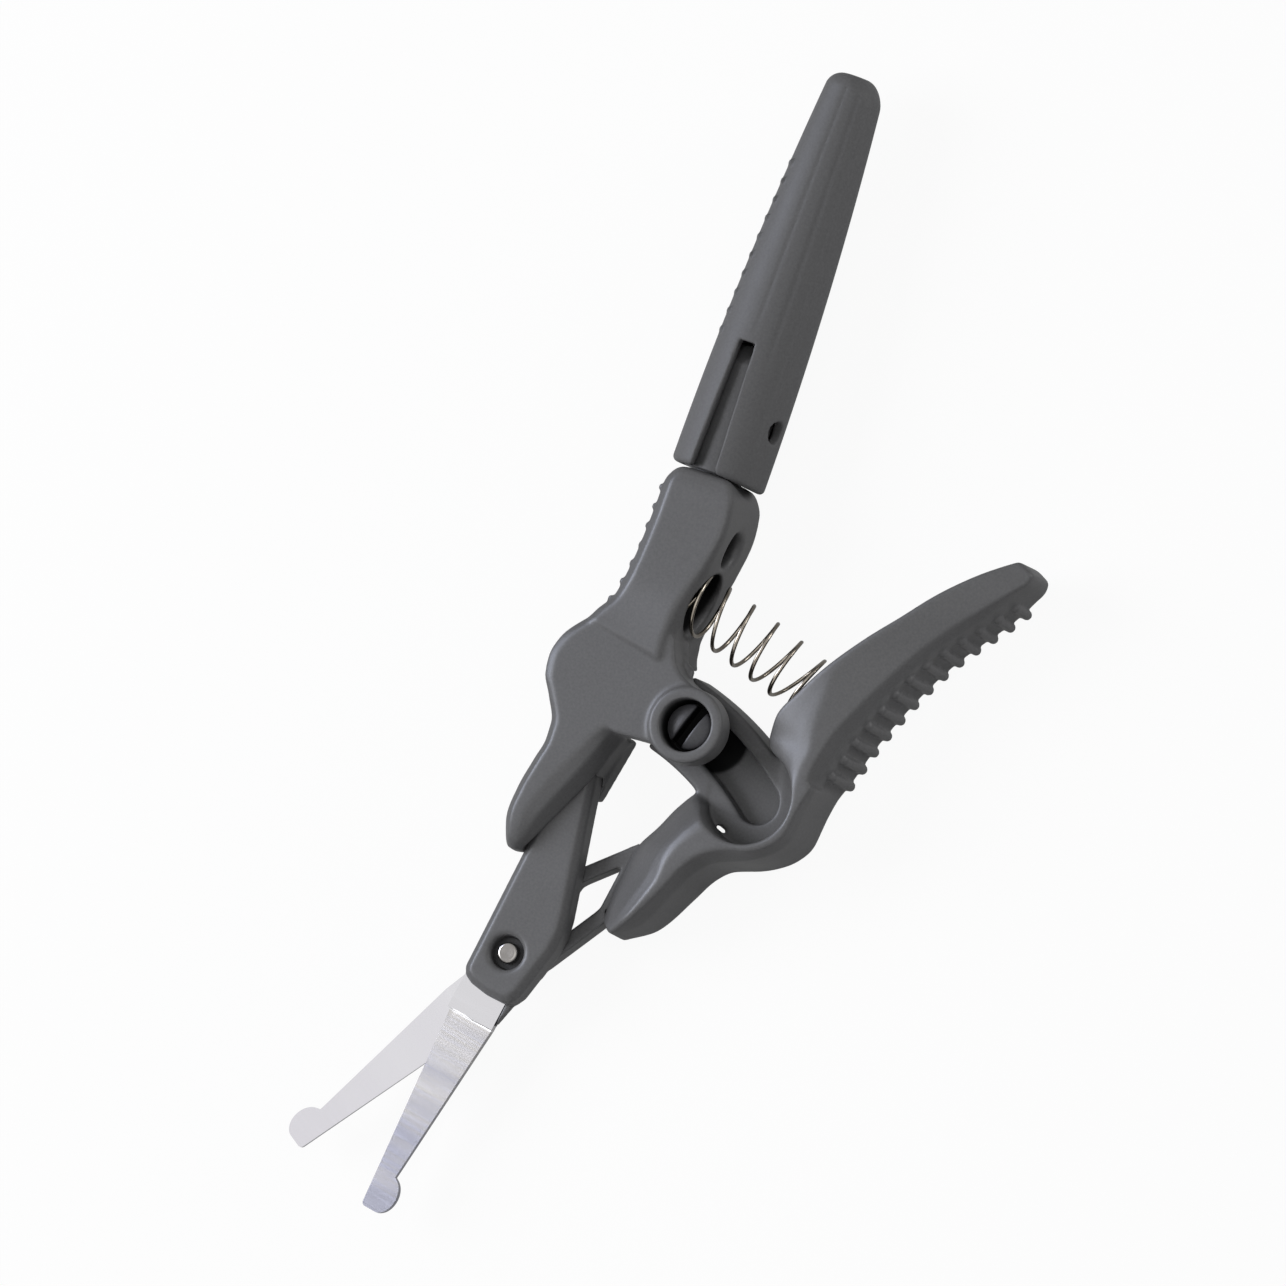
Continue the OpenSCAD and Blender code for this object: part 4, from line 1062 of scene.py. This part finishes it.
@dataclass(frozen=True)
class FrontHolder:
    """The kite-shaped plate round the front blade's root, with a chamfered rim and the rivet's recess."""

    bottom: float = 5.65
    top: float = 9.8
    chamfer: float = 0.9
    recess_r: float = 2.25
    recess_floor: float = 7.6
    outline: Outline = ((-4.5, -4.5), (-3.4, -5.3), (-0.9, -6.1), (1.4, -6.4), (2.6, -6.1), (3.5, -4.9), (5.9, 2),
                        (6.3, 4.4), (6.2, 6.6), (5.1, 14), (4.1, 20.5), (3.3, 26), (2.7, 30), (-0.1, 30), (-1, 24),
                        (-2.6, 13.3), (-4.9, -3.4))
    # a low wedge along the blade's back
    cheek: Outline = ((0.4, -5), (2.8, -5), (2.5, -5.9), (0.65, -10.4), (0.2, -10.2))

    def build(self) -> None:
        """Make the plate: the outline with two faces, less the chamfer, recess, rivet hole and blade seat."""
        grid = Grid((-5.7, -11.2, 5.0), (7.3, 31, 10.5), 0.19)
        plan, seat_top = grid.plan(self.outline), self.bottom + BLADES.thickness
        field = grid.plate(plan, self.bottom, self.top)
        field = np.maximum(field, (plan + grid.z - self.top + self.chamfer) / math.sqrt(2))
        field = np.minimum(field, grid.plate(grid.plan(self.cheek), self.bottom, seat_top))
        field = cut(grid.blurred(field, 0.2), grid.post(0, 0, self.recess_r, self.recess_floor, FAR), 0.9)
        field = cut(np.maximum(field, self.bottom - grid.z), grid.post(0, 0, RIVET.hole_r, 0.0, FAR))
        blade = BLADES.outline_distance(grid, BLADES.front_deg, -1) - 0.05
        field = cut(field, np.maximum(blade, grid.z - seat_top - 0.02))
        dress(grid.solid("front_blade_holder", field), Finish.BODY, "handle", "grey_plastic", "front_holder")


@dataclass(frozen=True)
class RearHolder:
    """The rear blade's holder: a disc on the pivot and a loop of thin bars out to the lever's horn."""

    bottom: float = 2.25
    top: float = 5.55
    disc_r: float = 3.9
    bar_width: float = 1.9
    recess_r: float = 2.25
    recess_top: float = 3.35
    bars: tuple = (((3.6, 0.6), (9.1, 8.4)), ((11.2, 18.25), (4.5, 12.5)), ((1.2, 2.5), (4, 12.3)))
    tang: Outline = ((8.6, 9.2), (13.5, 11.5), (15, 17.5), (10, 18.2))

    def build(self) -> None:
        """Make the holder: disc, bars with round ends and tang, as one plate."""
        grid = Grid((-4.8, -4.8, 1.6), (15.8, 19, 6.2), 0.19)
        x, y = grid.x, grid.y
        plan = joined(np.hypot(x, y) - self.disc_r, grid.plan(self.tang), 0.1)
        for (ax, ay), (bx, by) in self.bars:
            dx, dy = bx - ax, by - ay
            share = np.clip(((x - ax) * dx + (y - ay) * dy) / (dx ** 2 + dy ** 2), 0, 1)
            plan = joined(plan, np.hypot(x - ax - share * dx, y - ay - share * dy) - self.bar_width / 2, 0.5)
        field = grid.blurred(grid.plate(plan, self.bottom, self.top), 0.15)
        field = cut(field, grid.post(0, 0, self.recess_r, 0.0, self.recess_top))
        field = cut(field, grid.post(0, 0, RIVET.hole_r, 0.0, FAR))
        blade = BLADES.outline_distance(grid, BLADES.rear_deg, 1) - 0.05
        field = cut(field, np.maximum(blade, self.top - BLADES.thickness - grid.z))
        dress(grid.solid("rear_blade_holder", field), Finish.BODY, "lever", "grey_plastic", "rear_holder")


@dataclass(frozen=True)
class Blades:
    """The two blades: a flat shoulder, a ground taper and a round safety tip, mirrored about the cut."""

    root: float = -3.2
    reach: float = 35.4
    tip_r: float = 1.95
    tip_len: float = 2.6
    neck: float = 2.4
    thickness: float = 1.2
    edge_t: float = 0.3
    edge_w: float = 4.15
    back_w: float = 2.4
    wide_w: float = 4.45
    heel: Outline = ((3.4, 2.4), (4.6, 4.45))
    root_w: float = 2.2
    shoulder: float = 9.9
    step: float = 0.15
    front_deg: float = -99.5
    rear_deg: float = -123.0
    front_z: float = 5.65
    rear_z: float = 4.35

    def spine(self) -> Outline:
        """Give the back's corners from the root to the tip's middle."""
        return ((self.root, -self.back_w + 0.2), (self.shoulder, -self.back_w), (self.reach - self.neck, -0.35),
                (self.reach, 0))

    def outline_distance(self, grid: Grid, turn_deg: float, side: int) -> Array:
        """Distance to a blade's outline without its round tip, for the seats in the holders.

        Args:
            grid: the holder's grid.
            turn_deg: the blade's direction.
            side: 1 if the cutting edge lies counter-clockwise of that direction, -1 if not.

        Returns:
            Plan distances, one per column.
        """
        end = self.reach + self.tip_r - 0.05
        outline = (*self.spine(), (end, -0.1), (end, self.tip_r + 0.1), (self.shoulder + 1.2, self.edge_w),
                   (self.shoulder, self.wide_w), *self.heel[::-1], (self.root, self.root_w))
        along, across = spun(grid.x, grid.y, turn_deg)
        return polygon_distance(along[:, :, 0], side * across[:, :, 0], np.array(outline, float))[:, :, None]

    def surface(self, name: str, turn_deg: float, side: int, base: float, ground_front: bool) -> bpy.types.Object:
        """Make one blade: rings of points round its section, carried along its length.

        At each place the section runs from the back edge to the cutting edge. The back follows the spine, then the
        round tip; the ground face falls evenly from the spine to the thin cutting edge, past the shoulder's step.

        Args:
            name: the object's name.
            turn_deg: the blade's direction.
            side: as for outline_distance.
            base: height of the blade's back face.
            ground_front: whether the ground face is in front.

        Returns:
            The new object, with a UV map in millimetres along and across the blade.
        """
        end, past_step, neck = self.reach + self.tip_len - 0.02, self.shoulder + 1.4, self.reach - self.neck
        u = np.unique(np.concatenate([
            np.linspace(self.root, self.shoulder, 40), np.linspace(self.shoulder, past_step, 24),
            np.linspace(past_step, neck, 90),
            end - (self.tip_len + self.neck) * (1 - np.sin(np.linspace(0, math.pi / 2, 60)))]))
        spine = np.interp(u, *np.transpose(self.spine()))
        bulb = -self.tip_r * np.sqrt(np.maximum(1 - ((u - self.reach) / self.tip_len) ** 2, 0))
        low = np.where(np.abs(u - self.reach) < self.tip_len, np.minimum(spine, bulb), spine)
        high = np.interp(u, *np.transpose((
            (self.root, self.root_w), *self.heel, (self.shoulder, self.wide_w),
            (self.shoulder + 0.5, self.edge_w + 0.1), (end, self.tip_r + 0.1))))
        high = high - 0.5 * (1 - np.sqrt(1 - fade(u - end + 0.5, 0.5) ** 2))
        share = np.concatenate([[0.0], np.linspace(0.02, 0.98, 14), [1.0]])
        v = low[:, None] + (high - low)[:, None] * share
        fall = fade(v + self.back_w, self.edge_w + self.back_w)
        step = fade(u - self.shoulder, self.step)[:, None]
        smooth_step = step * step * (3 - 2 * step)
        ground = self.thickness - smooth_step * (0.1 + (self.thickness - self.edge_t - 0.1) * fall)
        front = base + (ground if ground_front else np.full_like(v, self.thickness))
        back = base + (np.zeros_like(v) if ground_front else self.thickness - ground)
        ring_u = np.repeat(u[:, None], 2 * len(share), axis=1)
        ring_v = np.concatenate([v, v[:, ::-1]], axis=1)
        x, y = spun(ring_u, side * ring_v, -turn_deg)
        rings = np.stack([x, y, np.concatenate([front, back[:, ::-1]], axis=1)], -1)
        if side > 0:
            rings, ring_u, ring_v = rings[:, ::-1], ring_u[:, ::-1], ring_v[:, ::-1]
        piece = ring_mesh(name, rings, sharp_deg=28)
        set_uv(piece, np.stack([ring_u, ring_v], -1).reshape(-1, 2))
        return piece

    def build(self) -> None:
        """Make both blades, the front one ground in front and the rear one ground behind."""
        front = self.surface("front_blade_ground", self.front_deg, -1, self.front_z, True)
        dress(front, Finish.GROUND, "handle", "blade_steel", "front_blade")
        rear = self.surface("rear_blade_ground", self.rear_deg, 1, self.rear_z, False)
        dress(rear, Finish.POLISHED, "lever", "blade_steel", "rear_blade")


@dataclass(frozen=True)
class Rivet:
    """The pivot rivet with a low domed head at each end, and a washer under each head."""

    shank_r: float = 1.1
    hole_r: float = 1.15
    head_r: float = 1.4
    head_z: float = 7.9
    head_h: float = 1.4
    crown: tuple[float, float] = (0.45, 0.4)
    tail_z: float = 2.35
    tail_h: float = 0.65
    washer_r: float = 2.1
    washer_t: float = 0.3

    def build(self) -> None:
        """Turn the rivet and its washers: profiles carried round the pivot's axis."""
        arc = np.linspace(0, math.pi / 2, 9)
        top, tail_top, (wide, high) = self.head_z + self.head_h, self.tail_z + self.tail_h, self.crown
        rim = self.head_r - wide * (1 - np.cos(arc))
        crown = np.stack([rim, top - high + high * np.sin(arc)], -1)
        foot = np.stack([rim, self.tail_z + high - high * np.sin(arc)], -1)[::-1]
        dish = [(0.7, top - 0.02), (0.35, top - 0.05), (0.05, top - 0.06)]
        neck = [(self.head_r, tail_top), (self.shank_r, tail_top), (self.shank_r, self.head_z),
                (self.head_r, self.head_z)]
        profile = np.concatenate([[(0.05, self.tail_z)], foot, neck, crown, dish])
        dress(ring_mesh("pivot_rivet_turned", turned(profile, (0, 0, 0), 2)), Finish.RIVET, "handle", "bright_steel",
              "pivot_rivet")
        inner, outer = self.hole_r, self.washer_r
        for end, low in (("front", self.head_z - self.washer_t), ("back", tail_top)):
            high = low + self.washer_t
            ring = turned(np.array([(inner, low), (outer, low), (outer, high), (inner, high)]), (0, 0, 0), 2)
            washer = ring_mesh(f"pivot_washer_{end}", ring, closed_path=True)
            dress(washer, Finish.WASHER, "handle", "bright_steel", "pivot_washers")


@dataclass(frozen=True)
class SeamRipper:
    """The seam ripper on the grip's end: plug and spigot, forked blade, bead and the long cap."""

    base_y: float = 67.5
    mouth_y: float = 67.8
    length: float = 54.8
    mouth_r: float = 6.4
    taper: float = 2.7
    wall: float = 1.5
    end_wall: float = 4.5
    end_round: float = 2.0
    end_lean: float = 1.4
    mouth_round: float = 0.8
    slot_len: float = 17.4
    slot_mouth: float = 3.5
    slot_end: float = 2.2
    slot_turn_deg: float = -4.0
    hole_r: float = 1.5
    hole_y: float = 7.4
    hole_turn_deg: float = 14.0
    bead_r: float = 1.2
    bead_at: tuple[float, float] = (1.9, 36.25)
    plug_r: float = 3.3
    # direction from the front, height (negative for a groove), half width in degrees, and where it starts up the cap
    lines: tuple = ((1.0, -0.11, 2.6, 17.0), (29.0, -0.13, 3.2, 14.0), (54.0, 0.16, 2.8, 0.0))
    # the small grip ribs: how many, the first one's place, pitch, direction, radius, sink and half length
    ribs: tuple = (10, 18, 2.6, -72, 0.46, 0.33, 2.2)

    def build(self) -> None:
        """Make the cap, the spigot and the bead, and dress the forked blade."""
        self._cap()
        self._spigot()
        dress(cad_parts["ripper_blade"], Finish.RIPPER, "handle", "blade_steel")
        arc = np.linspace(-math.pi / 2 + 0.05, math.pi / 2 - 0.05, 24)
        bead = self.bead_r * np.stack([np.cos(arc), np.sin(arc)], -1)
        centre = (RIPPER_X + self.bead_at[0], self.base_y + self.bead_at[1], RIPPER_Z)
        piece = ring_mesh("ripper_bead", turned(bead, centre, 1, 40))
        dress(piece, Finish.BEAD, "handle", "bead_plastic", "ripper_ball")

    def _cap(self) -> None:
        """Make the cap: a tapered shell whose radius falls with the square of the height, and fine lines up it."""
        grid = Grid((-2.6, 66.1, -0.2), (11.9, 123.6, 14.4), 0.21)
        dx, dy, dz = grid.x - RIPPER_X, grid.y - self.mouth_y, grid.z - RIPPER_Z
        radius, angle = np.hypot(dx, dz), np.degrees(np.arctan2(dx, dz))
        t = fade(dy, self.length)
        skin = self.mouth_r - self.taper * t * t
        relief = sum(rise * np.exp(-((angle - centre) / half) ** 2) * fade(dy - start, 6)
                     for centre, rise, half, start in self.lines)
        mouth = -0.2 - 0.12 * np.maximum(dx - 1, 0)
        outer = np.maximum(radius - skin - relief, np.maximum(mouth - dy, dy - self.length))
        reach = self.end_round + self.end_lean * fade(dx, 3.6)
        for depth, size in ((dy - self.length, reach), (mouth - dy, self.mouth_round)):
            corner = np.hypot(np.maximum(radius - skin + size, 0), np.maximum(depth + size, 0)) - size
            outer = np.where((depth > -size) & (radius > skin - size), np.maximum(outer, corner), outer)
        outer = joined(outer, self._cap_ribs(grid, dx, dy, dz), 0.2)
        field = cut(outer, np.maximum(radius - skin + self.wall, dy - self.length + self.end_wall), 0.3)
        front, side = spun(dz, dx, self.slot_turn_deg)
        half = np.interp(dy, [0, self.slot_len], [self.slot_mouth / 2, self.slot_end / 2])
        field = cut(field, np.maximum(np.maximum(np.abs(side) - half, dy - self.slot_len), 1 - front), 0.25)
        out, beside = spun(dx, dz, self.hole_turn_deg)
        field = cut(field, np.maximum(np.hypot(beside, dy - self.hole_y) - self.hole_r, 1 - out), 0.4)
        dress(grid.solid("ripper_cap_shell", field), Finish.CAP, "cap", "grey_plastic", "ripper_cap")

    def _cap_ribs(self, grid: Grid, dx: Array, dy: Array, dz: Array) -> Array:
        """Distance to the small grip ribs on the cap's left side: low bars across the skin."""
        count, first, pitch, turn_deg, radius, sink, half = self.ribs
        out, across = spun(dz, dx, turn_deg)
        field = np.full(grid.shape, 5.0)
        for y in (first + pitch * i for i in range(count)):
            skin = self.mouth_r - self.taper * (y / self.length) ** 2
            bar = np.maximum(np.hypot(out - skin + sink, dy - y) - radius, np.abs(across) - half)
            field = np.minimum(field, bar)
        return field

    def _spigot(self) -> None:
        """Turn the spigot that carries the blade and the cap: a profile carried round the ripper's axis."""
        plug, spigot = self.plug_r, self.mouth_r - self.wall - 0.3
        profile = np.array([(0.05, -8.45), (plug - 0.4, -8.45), (plug, -8.0), (plug, 0.05), (spigot - 0.2, 0.05),
                            (spigot, 0.25), (spigot, 14.6), (spigot - 0.1, 15.0), (spigot - 1.6, 17.2),
                            (spigot - 1.9, 17.4), (0.05, 17.45)])
        piece = ring_mesh("ripper_spigot", turned(profile, (RIPPER_X, self.base_y, RIPPER_Z), 1))
        dress(piece, Finish.BODY, "handle", "grey_plastic", "ripper_holder")


FRONT_HOLDER, BLADES, RIVET = FrontHolder(), Blades(), Rivet()


# Studio


@dataclass(frozen=True)
class Softbox:
    """One square studio light, its place and size in metres, aimed at the middle of the snips."""

    name: str
    place: Point
    size: float
    watts: float
    colour: str = "#ffffff"
    only_gloss: bool = False

    def build(self, target: Vector) -> None:
        """Add the light.

        Args:
            target: the point it faces, in row metres.
        """
        data = bpy.data.lights.new(self.name, "AREA")
        data.shape, data.size, data.energy = "SQUARE", self.size, self.watts
        data.color = linear(self.colour)[:3]
        light = linked(self.name, data)
        light.location = Vector(self.place)
        light.rotation_euler = (target - light.location).to_track_quat("-Z", "Y").to_euler()
        light.visible_diffuse = not self.only_gloss


@dataclass(frozen=True)
class Studio:
    """Camera, soft lights, white surroundings and the pale table that the snips lie on."""

    turn_deg: float = 18.08
    rise_deg: float = -1.47
    roll_deg: float = 19.55
    frame_mm: float = 1286 / 7.6886
    distance_mm: float = 3000.0
    aim: Point = (2.607, 43.87, 7.0)
    middle: Point = (8.0, 40.0, 7.0)
    sensor_mm: float = 36.0
    lights: tuple = (
        Softbox("key_left", (-0.64, -0.1, 0.47), 0.5, 5.8, "#f6f7fb"),
        Softbox("fill_front", (0.3, -0.1, 1.1), 0.9, 2.35),
        Softbox("fill_right", (0.6, 0.5, 0.17), 0.3, 2.2),
        Softbox("fill_low", (0.1, -0.8, 0.3), 0.5, 0.75),
        Softbox("sheen_left", (-0.7, 0.04, 0.4), 0.4, 7.0, "#ccd6f2", only_gloss=True))
    # lowest light from the world, and what gloss sees of it from the horizon to overhead
    ambient: float = 0.1
    gloss_room: tuple[float, float] = (0.25, 1.0)
    table_z: float = -0.0003
    table_half: float = 6.0
    table_glow: float = 0.93
    table_gloss: float = 0.35

    def build(self) -> None:
        """Set up the camera, the lights, the world and the floor."""
        self._camera()
        for light in self.lights:
            light.build(Vector(to_row(self.middle)))
        self._world()
        self._floor()
        bpy.context.scene.view_settings.view_transform = "Standard"

    def _camera(self) -> None:
        """Place a long-lens camera: turned about Y, tipped, then rolled, with the frame centred on the aim point."""
        turn, rise, roll = (math.radians(a) for a in (self.turn_deg, self.rise_deg, self.roll_deg))
        right = np.array([math.cos(turn), 0, -math.sin(turn)])
        up = np.array([-math.sin(turn) * math.sin(rise), math.cos(rise), -math.cos(turn) * math.sin(rise)])
        back = np.cross(right, up)
        side = math.cos(roll) * right + math.sin(roll) * up
        top = -math.sin(roll) * right + math.cos(roll) * up
        place = to_row(np.array(self.aim) + self.distance_mm * back)
        data = bpy.data.cameras.new("photo_camera")
        data.sensor_width = self.sensor_mm
        data.lens = self.sensor_mm * self.distance_mm / self.frame_mm
        data.clip_start, data.clip_end = 0.1, 20.0
        camera = linked("photo_camera", data)
        camera.matrix_world = Matrix([*np.stack([side, top, back, place], -1).tolist(), (0, 0, 0, 1)])
        bpy.context.scene.camera = camera

    def _world(self) -> None:
        """Light the scene softly, and show white to the camera, to gloss and through gaps."""
        world = bpy.data.worlds.new("studio_white")
        bpy.context.scene.world = world
        world.use_nodes = True
        tree = world.node_tree
        path = add_node(tree, "LightPath").outputs
        seen = reckon(tree, "MAXIMUM", path["Is Camera Ray"], path["Is Transmission Ray"])
        # gloss sees white overhead and a dimmer room towards the horizon
        height = add_node(tree, "SeparateXYZ", Vector=add_node(tree, "TexCoord").outputs["Generated"]).outputs["Z"]
        gloss = reckon(tree, "MULTIPLY", path["Is Glossy Ray"], ramp(tree, height, (0.0, 0.65), self.gloss_room))
        level = reckon(tree, "MAXIMUM", reckon(tree, "MAXIMUM", seen, gloss), self.ambient)
        feed(tree, tree.nodes["Background"], Color=(1, 1, 1, 1), Strength=level)

    def _floor(self) -> None:
        """Lay a pale table just under the snips; it glows white to the camera and keeps a soft shadow."""
        half = self.table_half
        corners = ((-half, -half), (half, -half), (half, half), (-half, half))
        mesh = bpy.data.meshes.new("table")
        mesh.from_pydata([(*corner, self.table_z) for corner in corners], [], [(0, 1, 2, 3)])
        table = linked("table", mesh)
        material, tree, _ = new_material("pale_table")
        tree.nodes.clear()
        path = add_node(tree, "LightPath").outputs
        gloss = reckon(tree, "MULTIPLY", path["Is Glossy Ray"], self.table_gloss)
        seen = reckon(tree, "MAXIMUM", path["Is Camera Ray"],
                      reckon(tree, "MAXIMUM", gloss, path["Is Transmission Ray"]))
        # the table lights the snips' sides from below, and gloss sees it dim
        lit = mix(tree, path["Is Diffuse Ray"], "#f2f2f2", "#c4c4c4")
        tone = mix(tree, path["Is Glossy Ray"], lit, "#505050")
        paint = add_node(tree, "BsdfDiffuse", Color=tone).outputs[0]
        glow = add_node(tree, "Emission", Color=(1, 1, 1, 1), Strength=1.0).outputs[0]
        keep = reckon(tree, "MULTIPLY", seen, self.table_glow)
        both = add_node(tree, "MixShader", i0=keep, i1=paint, i2=glow).outputs[0]
        add_node(tree, "OutputMaterial", Surface=both)
        mesh.materials.append(material)


def main() -> None:
    """Build the studio and the snips, piece by piece."""
    logging.basicConfig(level=logging.INFO, format="%(name)s: %(message)s")
    guide, spring = Guide(), SpringSeat()
    for part in (Studio(), Handle(guide, spring), Lever(guide, spring), FRONT_HOLDER, RearHolder(), BLADES, RIVET,
                 guide, spring, SeamRipper()):
        part.build()
    for node in ("front_holder_pin", "rear_holder_pin"):
        dress(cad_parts[node], Finish.RIVET, "handle" if node.startswith("front") else "lever", "bright_steel")


if __name__ == "__main__":
    main()
